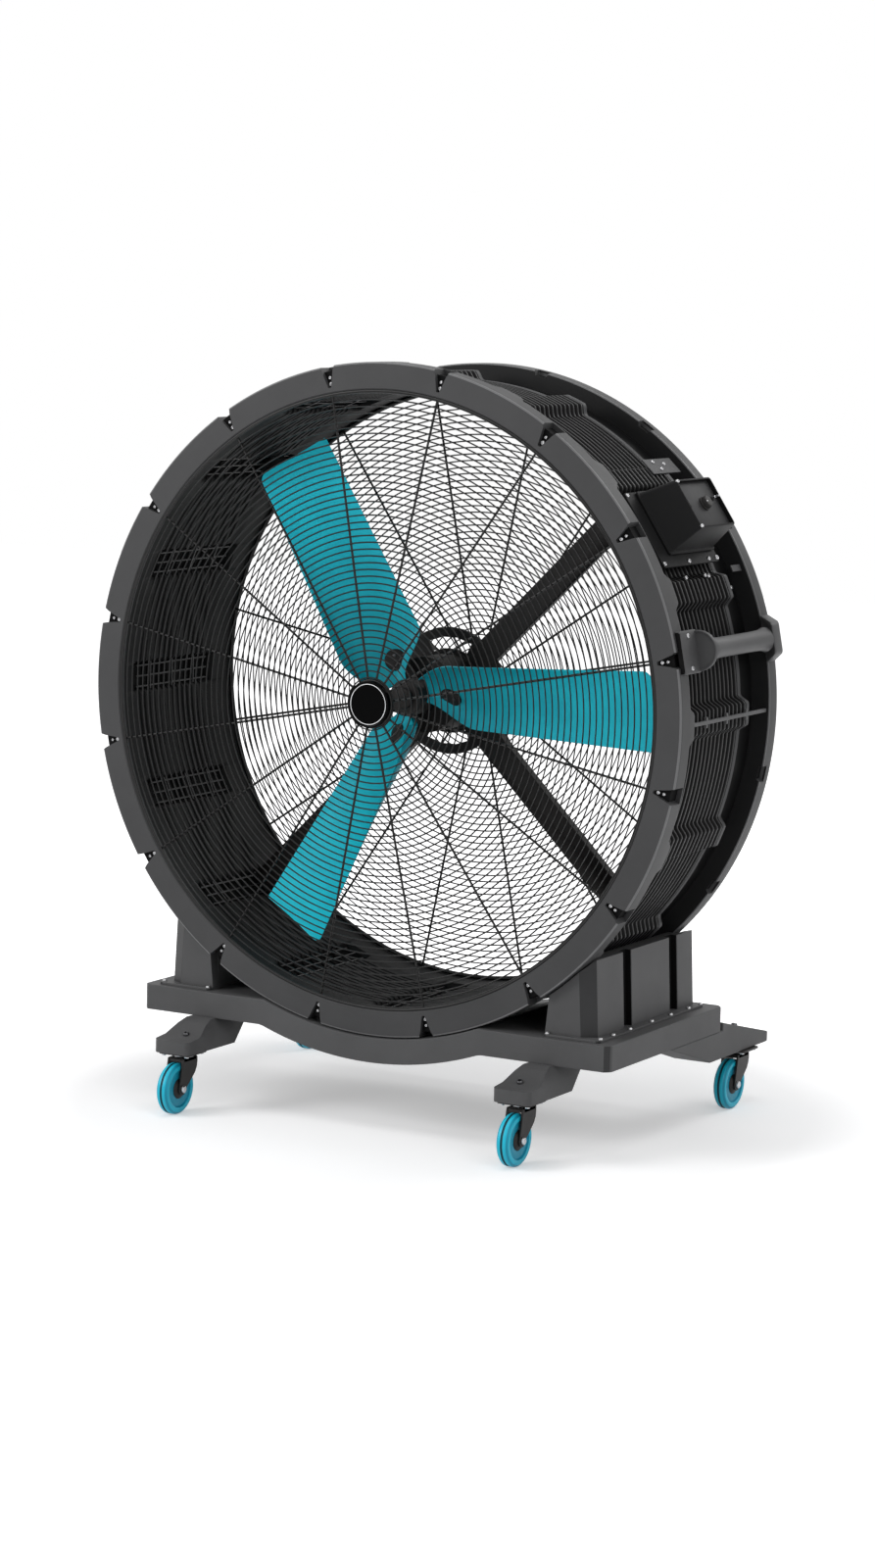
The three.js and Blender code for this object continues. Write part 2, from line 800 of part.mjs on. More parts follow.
function controlPanel() {
  const fit = boxWall + seatGap;
  const sheet = taper('x', boxSection(panelTop - panelThickness, fit), boxSection(panelTop, fit));
  const bush = rod(switchBushRadius, panelTop - panelThickness / 2, panelTop + switchBushHeight, smallSides);
  return joined([sheet, bush.rotateZ(-90 * deg).translate(0, switchDepth, controlLine + switchOffset)]);
}

function driveBoard() {
  const middle = (boxFootStart + boxFootEnd) / 2;
  const base = plateTop + boxFloor + seatGap;
  const across = (size, at) => [at - size / 2, at + size / 2];
  const card = block(
    [base + boardLegs, base + boardLegs + boardThickness],
    across(boardLength, middle),
    across(boardWidth, controlLine),
  );
  const sink = block(
    [base, base + boardSinkHeight],
    across(boardSinkLength, middle),
    across(boardSinkWidth, controlLine),
  );
  return joined([card, sink]);
}

function speedKnob() {
  const seat = panelTop + seatGap;
  const profile = [
    [0, seat],
    [knobRadius, seat],
    [knobRadius, seat + knobSkirt],
    [knobRadius - knobSkirt, seat + knobHeight],
    [0, seat + knobHeight],
  ].map(([radius, y]) => new THREE.Vector2(radius, y));
  const knob = closed(new THREE.LatheGeometry(profile, motorSides)).rotateZ(-90 * deg);
  return knob.translate(0, knobDepth, controlLine);
}

const leverPivot = panelTop + switchBushHeight + leverBall + seatGap;

function powerSwitch() {
  const ball = new THREE.SphereGeometry(leverBall, smallSides, smallSides / 2);
  const stick = rod(leverRadius, 0, leverLength, smallSides).rotateZ(-90 * deg);
  const lever = joined([ball, stick]).rotateY(leverLean * deg);
  return lever.translate(leverPivot, switchDepth, controlLine + switchOffset);
}

function cableGland() {
  const [, [, wall]] = boxSection(glandHeight - glandNutRadius, 0);
  const start = wall + seatGap;
  const nut = rod(glandNutRadius, start, start + glandNutLength, smallSides);
  const stem = rod(glandRadius, start + glandNutLength / 2, start + glandLength, smallSides);
  return joined([nut, stem]).translate(glandHeight, 0, controlLine);
}

// Tray: the beam dips under the drum, and ribs divide its underside
function wave(flatHeight, radius, dip) {
  const meet = Math.sqrt(radius * radius - (radius - dip) ** 2);
  const turns = Array.from({ length: 2 * troughSteps + 1 }, (_, i) => (i - troughSteps) / troughSteps);
  const arc = (x) => flatHeight - dip + radius - Math.sqrt(radius * radius - x * x);
  return turns.map((t) => [t * meet, arc(t * meet)]);
}

function baseTray() {
  const half = trayHalfWidth;
  const top = wave(trayTop, troughRadius, troughDepth);
  const bottom = wave(trayBottom, bellyRadius, bellyDepth);
  const edge = [
    [-half, trayTop],
    ...top,
    [half, trayTop],
    [half, trayBottom],
    ...bottom.reverse(),
    [-half, trayBottom],
  ];
  const plan = [
    [trayFront, -half + trayChamfer],
    [trayFront, half - trayChamfer],
    [trayFront + trayChamfer, half],
    [trayRear - trayChamfer, half],
    [trayRear, half - trayChamfer],
    [trayRear, -half + trayChamfer],
    [trayRear - trayChamfer, -half],
    [trayFront + trayChamfer, -half],
  ].map(([y, x]) => [x, y]);
  const below = trayBottom - bellyDepth - cutOverrun;
  const height = trayTop - below + cutOverrun;
  const footprint = new THREE.ExtrudeGeometry(outline(plan), { depth: height, bevelEnabled: false });
  const body = solid(alongY(edge, trayFront - cutOverrun, trayRear + cutOverrun))
    .intersect(solid(footprint.translate(0, 0, below)));
  const ceiling = wave(trayTop - trayWall, troughRadius + trayWall, troughDepth);
  const hollow = [
    [-half, trayTop - trayWall],
    ...ceiling,
    [half, trayTop - trayWall],
    [half, below],
    [-half, below],
  ];
  const room = solid(alongY(hollow, trayFront, trayRear));
  const share = (from, to, count, i) => {
    const cell = (to - from - trayWall) / count;
    return [from + trayWall + i * cell, from + (i + 1) * cell];
  };
  let whole = body;
  for (let i = 0; i < trayCellsAcross; i += 1) {
    for (let j = 0; j < trayCellsDeep; j += 1) {
      const cell = block(
        share(-half, half, trayCellsAcross, i),
        share(trayFront, trayRear, trayCellsDeep, j),
        [below - cutOverrun, trayTop],
      );
      whole = whole.subtract(solid(cell).intersect(room));
    }
  }
  return skin(whole);
}

// Pedestals, made on the +X side
function pedestal(side) {
  const foot = trayTop + seatGap;
  const seat = (columnFlat(ribRadius + columnRise) + seatGap) * Math.SQRT2;
  const seatHeight = (x) => axisHeight - seat + x;
  const shoulder = seatHeight(pedestalOuter - pedestalLean) - pedestalShoulder;
  const edge = [
    [pedestalInner, foot],
    [pedestalOuter, foot],
    [pedestalOuter - pedestalLean, shoulder],
    [pedestalOuter - pedestalLean - pedestalShoulder, shoulder],
    [pedestalInner + pedestalLean, seatHeight(pedestalInner + pedestalLean)],
  ];
  const bore = (radius, from, to) => rod(radius, from, to, columnCount * 4).translate(0, 0, axisHeight);
  const ringSeat = (radius, from, to) => bore(radius + ringClearance, from, to);
  const grooves = grooveShares.map((share) => {
    const depth = THREE.MathUtils.lerp(pedestalStart, pedestalEnd, share);
    return block(
      [pedestalOuter - pedestalLean - grooveDepth, pedestalOuter + cutOverrun],
      [depth - grooveWidth / 2, depth + grooveWidth / 2],
      [foot + flangeHeight, axisHeight],
    );
  });
  const corner = new THREE.ExtrudeGeometry(outline([
    [pedestalOuter - pedestalChamferWidth, pedestalStart - cutOverrun],
    [pedestalOuter + cutOverrun, pedestalStart - cutOverrun],
    [pedestalOuter + cutOverrun, pedestalStart + pedestalChamferDepth],
    [pedestalOuter, pedestalStart + pedestalChamferDepth],
    [pedestalOuter - pedestalChamferWidth, pedestalStart],
  ]), { depth: axisHeight - foot, bevelEnabled: false });
  const column = cut(alongY(edge, pedestalStart, pedestalEnd), [
    ringSeat(frontRadius, -cutOverrun, ringBandDepth + ringClearance),
    ringSeat(rearRadius, rearFace - ringClearance, pedestalEnd + cutOverrun),
    corner.translate(0, 0, foot + flangeHeight),
    ...grooves,
  ]);
  const body = joined([column, block(
    [pedestalInner, pedestalOuter + flangeReach],
    [pedestalStart - flangeMargin, pedestalEnd + flangeMargin],
    [foot, foot + flangeHeight],
  )]);
  const wall = pedestalWall + grooveDepth;
  const drop = wall * Math.SQRT2 + ringClearance + frontRadius - ribRadius - columnRise;
  const inside = [
    [pedestalInner + wall, foot - cutOverrun],
    [pedestalOuter - wall, foot - cutOverrun],
    [pedestalOuter - wall - pedestalLean, seatHeight(pedestalOuter - wall) - drop],
    [pedestalInner + wall + pedestalLean, seatHeight(pedestalInner + wall) - drop],
  ];
  const room = (pedestalEnd - pedestalStart - wall) / pedestalCells;
  const cells = Array.from({ length: pedestalCells }, (_, i) => {
    const start = pedestalStart + i * room + wall;
    return alongY(inside, start, start + room - wall);
  });
  const whole = cut(body, cells);
  return side > 0 ? whole : closed(whole.scale(-1, 1, 1));
}

// Feet
function frontFoot() {
  const top = trayBottom - seatGap;
  return alongX([
    [frontFootEnd, footHeight],
    [frontHeel, footHeight],
    [frontHeelTop, top],
    [trayFront, top],
    [frontNeckEnd, footHeight + frontNeckRise],
    [frontPadEnd, footHeight + frontPadRise],
    [frontFootEnd, footHeight + footTip],
  ], -footWidth / 2, footWidth / 2);
}

function rearFoot() {
  const top = trayBottom - seatGap;
  return alongX([
    [trayRear - rearHeelInset, footHeight],
    [rearFootEnd, footHeight],
    [rearFootEnd, footHeight + rearTipTop],
    [trayRear + rearRampInset, footHeight + rearRampTop],
    [trayRear + seatGap, footHeight + rearRampTop + ringChamfer],
    [trayRear + seatGap, top],
    [trayRear - rearHeelTopInset, top],
  ], -footWidth / 2, footWidth / 2);
}

// Casters, made round the swivel axis
const plateBottom = footHeight - seatGap - casterPlateThickness;
const forkTop = plateBottom - raceHeight - seatGap;
const upright = (geometry) => geometry.rotateX(90 * deg);
const crosswise = (geometry) => geometry.rotateZ(90 * deg);

function swivelPlate() {
  const half = casterPlate / 2;
  const plate = block([-half, half], [-half, half], [plateBottom, plateBottom + casterPlateThickness]);
  const raceTop = plateBottom + casterPlateThickness / 2;
  const race = upright(rod(raceRadius, plateBottom - raceHeight, raceTop, smallSides));
  return joined([plate, race]);
}

function casterFork() {
  const bossShare = Math.SQRT1_2;
  const leg = [
    [forkHalfLength, forkTop],
    [-forkHalfLength, forkTop],
    [-trail - forkBoss, wheelRadius],
    [-trail - forkBoss * bossShare, wheelRadius - forkBoss * bossShare],
    [-trail, wheelRadius - forkBoss],
    [-trail + forkBoss * bossShare, wheelRadius - forkBoss * bossShare],
    [-trail + forkBoss, wheelRadius],
    [forkHalfLength, forkTop - forkShoulder],
  ];
  const outer = forkGap / 2 + forkLeg;
  const crown = block([-outer, outer], [-forkHalfLength, forkHalfLength], [forkTop - forkCrown, forkTop]);
  const legs = [-1, 1].map((side) => {
    const faces = [side * forkGap / 2, side * outer].sort((a, b) => a - b);
    return alongX(leg, ...faces);
  });
  const reach = outer + cutOverrun;
  const bore = crosswise(rod(axleBore, -reach, reach, smallSides)).translate(0, -trail, wheelRadius);
  return cut(joined([crown, ...legs]), [bore]);
}

function casterAxle() {
  const inner = forkGap / 2 + forkLeg + seatGap;
  const outer = inner + axleHeadLength;
  const points = [
    [0, -outer],
    [axleHeadRadius, -outer],
    [axleHeadRadius, -inner],
    [axleRadius, -inner],
    [axleRadius, inner],
    [axleHeadRadius, inner],
    [axleHeadRadius, outer],
    [0, outer],
  ].map(([radius, y]) => new THREE.Vector2(radius, y));
  return crosswise(closed(new THREE.LatheGeometry(points, smallSides))).translate(0, -trail, wheelRadius);
}

function casterWheel() {
  const flatShare = Math.cos(Math.PI / wheelSides);
  const profile = [
    [axleBore, wheelHubWidth / 2],
    [wheelHubRadius, wheelHubWidth / 2],
    [wheelHubRadius, wheelWidth / 2],
    [wheelRadius - treadChamfer, wheelWidth / 2],
    [wheelRadius / flatShare, treadWidth / 2],
  ];
  const mirrored = profile.map(([radius, x]) => [radius, -x]).reverse();
  const wheel = turned([...profile, ...mirrored], wheelSides).rotateY(Math.PI / wheelSides);
  return crosswise(wheel).translate(0, -trail, wheelRadius);
}

function caster(name, x, depth) {
  const group = new THREE.Group();
  group.add(
    piece(`caster_${name}_plate`, swivelPlate(), 'black'),
    piece(`caster_${name}_fork`, casterFork(), 'black'),
    piece(`caster_${name}_axle`, casterAxle(), 'steel'),
    piece(`caster_${name}_wheel`, casterWheel(), 'tyre'),
  );
  group.position.set(x, depth, 0);
  return group;
}

// Assembly: both groups carry places from the drum's axis and front face. The handle's leg is the widest
// point on one side and the front ring on the other, and the wheels and rear feet end the depth.
const widest = handleOuter * Math.cos(handleAngle * deg)
  + (handleLegTopHalf - handleShift) * Math.sin(handleAngle * deg);
const atHandle = (geometry) => aroundDrum(geometry.translate(0, 0, handleShift), handleAngle);
const axisX = (columnFlat(frontRadius) - widest) / 2;
const frontReach = frontSwivel - trail - wheelRadius;
const faceY = -(frontReach + rearFootEnd) / 2;
const badgeBack = guardRecess - guardDish - seatGap;
const rearGuardStart = rearFace + ringFaceThickness - guardRecess - guardThickness;

const drum = new THREE.Group();
drum.position.set(axisX, faceY, axisHeight);
drum.add(
  piece('front_ring', drumRing(frontRadius, 0, ringBandDepth), 'shell'),
  piece('barrel_shell', barrelShell(), 'barrel'),
  piece('rear_ring', drumRing(rearRadius, rearFace, rearBandDepth), 'shell'),
  piece('front_guard', guard(guardRecess, frontBarCount, guardDish), 'wire'),
  piece('rear_guard', guard(rearGuardStart, rearBarCount, 0), 'wire'),
  piece('badge', rod(badgeRadius, badgeBack - badgeThickness, badgeBack, motorSides), 'badge'),
  piece('motor_bracket', motorBracket(), 'bracket'),
  piece('motor_shell', motorShell(), 'black'),
  piece('motor_rear_cover', motorCover(), 'black'),
  piece('motor_stator', tube(
    statorBore,
    motorRadius - motorWall - seatGap,
    statorStart,
    statorStart + statorLength,
    motorSides,
  ), 'copper'),
  piece('motor_rotor', tube(
    shaftClear,
    statorBore - airGap,
    statorStart,
    statorStart + statorLength,
    motorSides,
  ), 'steel'),
  piece('motor_shaft', rod(shaftRadius, hubFront + seatGap, rearBearingEnd, motorSides), 'steel'),
  piece('front_bearing', tube(
    shaftClear,
    bearingRadius,
    motorFront,
    motorFront + bearingWidth,
    motorSides,
  ), 'steel'),
  piece('rear_bearing', tube(
    shaftClear,
    bearingRadius,
    rearBearingEnd - bearingWidth,
    rearBearingEnd,
    motorSides,
  ), 'steel'),
  piece('hub', hubShape(), 'black'),
  piece('hub_cap', rod(
    hubCapRadius,
    hubFront - seatGap - hubCapLength,
    hubFront - seatGap,
    motorSides,
  ), 'black'),
);

bladeAngles.forEach((angle, i) => {
  drum.add(
    piece(`blade_${i + 1}`, aroundDrum(bladeShape(), angle), 'blade'),
    piece(`blade_clamp_${i + 1}`, aroundDrum(bladeClamp(), angle), 'black'),
  );
});

drum.add(
  piece('handle_grip', atHandle(gripBar(gripStart, gripEnd, 0)), 'shell'),
  piece('handle_front_bracket', atHandle(handleFrontBracket()), 'shell'),
  piece('handle_rear_bracket', atHandle(handleRearBracket()), 'shell'),
  piece('seam_bar_right', seamBarShape(), 'shell'),
  piece('seam_bar_left', aroundDrum(seamBarShape(), 180), 'shell'),
  piece('control_box', aroundDrum(controlBox(), boxAngle), 'black'),
  piece('control_panel', aroundDrum(controlPanel(), boxAngle), 'shell'),
  piece('drive_board', aroundDrum(driveBoard(), boxAngle), 'board'),
  piece('speed_knob', aroundDrum(speedKnob(), boxAngle), 'black'),
  piece('power_switch', aroundDrum(powerSwitch(), boxAngle), 'steel'),
  piece('cable_gland', aroundDrum(cableGland(), boxAngle), 'black'),
);

const base = new THREE.Group();
base.position.set(axisX, faceY, 0);
base.add(
  piece('base_tray', baseTray(), 'shell'),
  piece('pedestal_right', pedestal(1), 'shell'),
  piece('pedestal_left', pedestal(-1), 'shell'),
);

[['right', 1], ['left', -1]].forEach(([side, sign]) => {
  const front = piece(`foot_front_${side}`, frontFoot(), 'shell');
  front.position.x = sign * frontFootCentre;
  const rear = piece(`foot_rear_${side}`, rearFoot(), 'shell');
  rear.position.x = sign * rearFootCentre;
  base.add(
    front,
    rear,
    caster(`front_${side}`, sign * frontFootCentre, frontSwivel),
    caster(`rear_${side}`, sign * (rearFootCentre + rearWheelOffset), rearSwivel),
  );
});

const group = new THREE.Group();
group.add(drum, base);

export default group;
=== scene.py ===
import json
import math

import bmesh
import bpy
import numpy as np
from mathutils import Matrix, Vector


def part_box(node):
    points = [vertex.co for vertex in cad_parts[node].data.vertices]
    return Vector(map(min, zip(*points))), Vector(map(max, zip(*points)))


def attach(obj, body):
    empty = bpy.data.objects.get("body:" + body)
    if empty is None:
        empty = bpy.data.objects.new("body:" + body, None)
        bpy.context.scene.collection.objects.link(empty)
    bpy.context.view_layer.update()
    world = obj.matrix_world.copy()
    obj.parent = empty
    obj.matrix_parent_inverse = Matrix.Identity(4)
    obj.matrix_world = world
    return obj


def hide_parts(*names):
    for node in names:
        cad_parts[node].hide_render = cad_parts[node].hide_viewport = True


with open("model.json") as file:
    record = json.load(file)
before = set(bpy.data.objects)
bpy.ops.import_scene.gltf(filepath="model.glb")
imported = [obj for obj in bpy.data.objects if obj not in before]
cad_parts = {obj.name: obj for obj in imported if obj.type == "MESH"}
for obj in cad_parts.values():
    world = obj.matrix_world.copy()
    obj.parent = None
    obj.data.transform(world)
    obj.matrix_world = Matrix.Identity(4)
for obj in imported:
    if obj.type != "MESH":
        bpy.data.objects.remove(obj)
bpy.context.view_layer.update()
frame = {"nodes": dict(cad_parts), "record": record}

bodyOf = {node: body for body, nodes in frame["record"]["behaviour"]["bodies"].items() for node in nodes}
mainBody = "drum_and_base"

# depths are measured back from the front face, heights from the axis or the floor, all in mm
ringLow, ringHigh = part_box("front_ring")
drum = {
    "middle": (ringLow[0] + ringHigh[0]) * 500,
    "face": ringLow[1] * 1000,
    "axis": (ringLow[2] + ringHigh[2]) * 500,
    "rearFace": 491,
}


def turn(points, degrees):
    # about the drum's axis, from the right-hand side upwards
    a = math.radians(degrees)
    p = np.asarray(points, float).reshape(-1, 3)
    x, y, z = p[:, 0], p[:, 1], p[:, 2]
    return np.stack([x * math.cos(a) - z * math.sin(a), y, x * math.sin(a) + z * math.cos(a)], axis=1)


# camera, from the middle of the drum's front face
view = {
    "offset": (4.5266, -7.6397, 1.0277),
    "ahead": (-0.4906, 0.8605, -0.1358),
    "roll": 0.0234,
    "lens": 86.95,
}

camera = bpy.data.objects.new("camera", bpy.data.cameras.new("camera"))
bpy.context.scene.collection.objects.link(camera)
place = Vector((drum["middle"], drum["face"], drum["axis"])) / 1000 + Vector(view["offset"])
ahead = Vector(view["ahead"]).normalized()
level = ahead.cross(Vector((0, 0, 1))).normalized()
upward = level.cross(ahead)
c, s = math.cos(view["roll"]), math.sin(view["roll"])
across, raised = c * level + s * upward, c * upward - s * level
camera.matrix_world = Matrix.Translation(place) @ Matrix((across, raised, -ahead)).transposed().to_4x4()
camera.data.lens = view["lens"]
camera.data.sensor_width = 36
camera.data.clip_end = 60
bpy.context.scene.camera = camera
bpy.context.scene.view_settings.view_transform = "Standard"

studio = {
    "ambient": 0.3,
    "lamps": [
        # place, target, size, watts
        ((-3.9, -4.4, 3.4), (-0.1, 0, 0.9), 2.6, 165),
        ((5.5, -3.5, 3.6), (0.6, 0, 1.0), 2.6, 60),
        ((2.5, 4.0, 5.0), (0.3, 0, 1.2), 2.5, 85),
        ((0.2, -1.0, 6.5), (0, 0, 0.8), 4.0, 110),
    ],
    "paper": (0.8, 0.8, 0.805),
    # the paper glows less near the fan, so that its shadow stays
    "paperGlow": (0.4, 1.0),
    "glowReach": (0.9, 1.65),
}


def placeLamp(i, place, target, size, watts):
    light = bpy.data.lights.new(f"softbox_{i}", "AREA")
    light.shape = "SQUARE"
    light.size = size
    light.energy = watts
    lamp = bpy.data.objects.new(f"softbox_{i}", light)
    lamp.location = place
    lamp.rotation_euler = (Vector(target) - Vector(place)).to_track_quat("-Z", "Y").to_euler()
    bpy.context.scene.collection.objects.link(lamp)


def seesBackdrop(n, l):
    # 1 for a ray that meets the backdrop directly, in a mirror or through glass
    path = n.new("ShaderNodeLightPath")
    last = path.outputs["Is Camera Ray"]
    for kind in ("Is Glossy Ray", "Is Transmission Ray"):
        either = n.new("ShaderNodeMath")
        either.operation = "MAXIMUM"
        l.new(last, either.inputs[0])
        l.new(path.outputs[kind], either.inputs[1])
        last = either.outputs[0]
    return last


def paleWorld():
    world = bpy.data.worlds.new("studio")
    bpy.context.scene.world = world
    world.use_nodes = True
    n, l = world.node_tree.nodes, world.node_tree.links
    n.clear()
    white = n.new("ShaderNodeBackground")
    white.inputs["Color"].default_value = (1, 1, 1, 1)
    white.inputs["Strength"].default_value = 1
    dim = n.new("ShaderNodeBackground")
    dim.inputs["Color"].default_value = (0.97, 0.98, 1, 1)
    dim.inputs["Strength"].default_value = studio["ambient"]
    pick = n.new("ShaderNodeMixShader")
    out = n.new("ShaderNodeOutputWorld")
    l.new(seesBackdrop(n, l), pick.inputs[0])
    l.new(dim.outputs[0], pick.inputs[1])
    l.new(white.outputs[0], pick.inputs[2])
    l.new(pick.outputs[0], out.inputs[0])


def paperFloor():
    paper = bpy.data.materials.new("paper_floor")
    paper.use_nodes = True
    n, l = paper.node_tree.nodes, paper.node_tree.links
    n.clear()
    matte = n.new("ShaderNodeBsdfDiffuse")
    matte.inputs["Color"].default_value = (*studio["paper"], 1)
    glow = n.new("ShaderNodeEmission")
    where = n.new("ShaderNodeTexCoord")
    away = n.new("ShaderNodeVectorMath")
    away.operation = "LENGTH"
    l.new(where.outputs["Object"], away.inputs[0])
    fade = n.new("ShaderNodeMapRange")
    for side, reach, strength in zip(("Min", "Max"), studio["glowReach"], studio["paperGlow"]):
        fade.inputs[f"From {side}"].default_value = reach
        fade.inputs[f"To {side}"].default_value = strength
    l.new(away.outputs["Value"], fade.inputs["Value"])
    l.new(fade.outputs["Result"], glow.inputs["Strength"])
    lift = n.new("ShaderNodeAddShader")
    mix = n.new("ShaderNodeMixShader")
    end = n.new("ShaderNodeOutputMaterial")
    l.new(matte.outputs[0], lift.inputs[0])
    l.new(glow.outputs[0], lift.inputs[1])
    l.new(seesBackdrop(n, l), mix.inputs[0])
    l.new(matte.outputs[0], mix.inputs[1])
    l.new(lift.outputs[0], mix.inputs[2])
    l.new(mix.outputs[0], end.inputs[0])
    mesh = bpy.data.meshes.new("floor")
    mesh.from_pydata([(-14, -14, 0), (14, -14, 0), (14, 14, 0), (-14, 14, 0)], [], [(0, 1, 2, 3)])
    mesh.materials.append(paper)
    floor = bpy.data.objects.new("floor", mesh)
    bpy.context.scene.collection.objects.link(floor)


for i, lamp in enumerate(studio["lamps"]):
    placeLamp(i, *lamp)
paleWorld()
paperFloor()
print("camera and stage ready")


# finishes
def startFinish(name, colour, roughness, metallic=0.0):
    finish = bpy.data.materials.new(name)
    finish.use_nodes = True
    n = finish.node_tree.nodes
    shader = n["Principled BSDF"]
    shader.inputs["Base Color"].default_value = (*colour, 1)
    shader.inputs["Roughness"].default_value = roughness
    shader.inputs["Metallic"].default_value = metallic
    finish.diffuse_color = (*colour, 1)
    return finish, n, finish.node_tree.links, shader


def noise(n, l, size, detail=3.0, rough=0.5, stretch=(1, 1, 1)):
    where = n.new("ShaderNodeTexCoord")
    scale = n.new("ShaderNodeMapping")
    scale.inputs["Scale"].default_value = stretch
    grain = n.new("ShaderNodeTexNoise")
    grain.inputs["Scale"].default_value = 1 / size
    grain.inputs["Detail"].default_value = detail
    grain.inputs["Roughness"].default_value = rough
    l.new(where.outputs["Object"], scale.inputs["Vector"])
    l.new(scale.outputs["Vector"], grain.inputs["Vector"])
    return grain.outputs["Fac"]


def ramp(n, l, source, stops):
    curve = n.new("ShaderNodeValToRGB")
    while len(curve.color_ramp.elements) < len(stops):
        curve.color_ramp.elements.new(0.5)
    for element, (at, colour) in zip(curve.color_ramp.elements, stops):
        element.position = at
        element.color = (*colour, 1)
    l.new(source, curve.inputs["Fac"])
    return curve.outputs["Color"]


def bump(n, l, shader, source, depth, strength=0.4, under=None):
    lift = n.new("ShaderNodeBump")
    lift.inputs["Distance"].default_value = depth
    lift.inputs["Strength"].default_value = strength
    l.new(source, lift.inputs["Height"])
    if under:
        l.new(under, lift.inputs["Normal"])
    l.new(lift.outputs["Normal"], shader.inputs["Normal"])
    return lift.outputs["Normal"]


def shade(colour, factor):
    return tuple(min(1, v * factor) for v in colour)


def glossRange(n, l, shader, source, low, high):
    gloss = n.new("ShaderNodeMapRange")
    gloss.inputs["To Min"].default_value = low
    gloss.inputs["To Max"].default_value = high
    l.new(source, gloss.inputs["Value"])
    l.new(gloss.outputs["Result"], shader.inputs["Roughness"])


# moulded plastic: slow clouding of tone and gloss over a fine sandy grain
def moulded(name, colour, roughness, gleam=0.25, grain=0.0016, depth=0.00025, cloud=0.18, spread=0.12):
    finish, n, l, shader = startFinish(name, colour, roughness)
    shader.inputs["Specular IOR Level"].default_value = gleam
    slow = noise(n, l, 0.22, 4, 0.6)
    l.new(ramp(n, l, slow, [(0.3, shade(colour, 1 - spread)), (0.7, shade(colour, 1 + spread))]),
          shader.inputs["Base Color"])
    glossRange(n, l, shader, noise(n, l, cloud, 5, 0.65), roughness - 0.08, roughness + 0.1)
    coarse = bump(n, l, shader, noise(n, l, 0.03, 2), 0.0004, 0.12)
    bump(n, l, shader, noise(n, l, grain, 2), depth, 0.35, coarse)
    return finish


# metal: brushed or turned streaks
def metal(name, colour, roughness, stretch=(1, 30, 1), size=0.01):
    finish, n, l, shader = startFinish(name, colour, roughness, 1.0)
    streak = noise(n, l, size, 3, 0.6, stretch)
    l.new(ramp(n, l, streak, [(0.25, shade(colour, 0.75)), (0.75, shade(colour, 1.15))]),
          shader.inputs["Base Color"])
    glossRange(n, l, shader, streak, roughness * 0.7, roughness * 1.4)
    bump(n, l, shader, streak, 0.0002, 0.15)
    return finish


# the blades: satin colour with faint flow marks along the span, and a painted highlight towards the tips
def bladeColour(name, colour):
    finish, n, l, shader = startFinish(name, colour, 0.5)
    shader.inputs["Specular IOR Level"].default_value = 0.3
    flow = noise(n, l, 0.09, 4, 0.55)
    where = n.new("ShaderNodeTexCoord")
    fromAxis = n.new("ShaderNodeMapping")
    fromAxis.inputs["Location"].default_value = (-drum["middle"] / 1000, 0, -drum["axis"] / 1000)
    fromAxis.inputs["Scale"].default_value = (1, 0, 1)
    away = n.new("ShaderNodeVectorMath")
    away.operation = "LENGTH"
    l.new(where.outputs["Object"], fromAxis.inputs["Vector"])
    l.new(fromAxis.outputs["Vector"], away.inputs[0])
    # painted highlight: the colour is darker near the hub and full towards the tips
    tip = n.new("ShaderNodeMix")
    tip.data_type = "RGBA"
    tip.blend_type = "MULTIPLY"
    tip.inputs[0].default_value = 1
    l.new(ramp(n, l, flow, [(0.25, shade(colour, 0.92)), (0.75, shade(colour, 1.08))]), tip.inputs[6])
    l.new(ramp(n, l, away.outputs["Value"], [(0.1, (0.62, 0.62, 0.62)), (0.66, (1, 1, 1))]), tip.inputs[7])
    l.new(tip.outputs[2], shader.inputs["Base Color"])
    coarse = bump(n, l, shader, noise(n, l, 0.06, 2), 0.0006, 0.1)
    bump(n, l, shader, noise(n, l, 0.0014, 2), 0.0001, 0.25, coarse)
    return finish


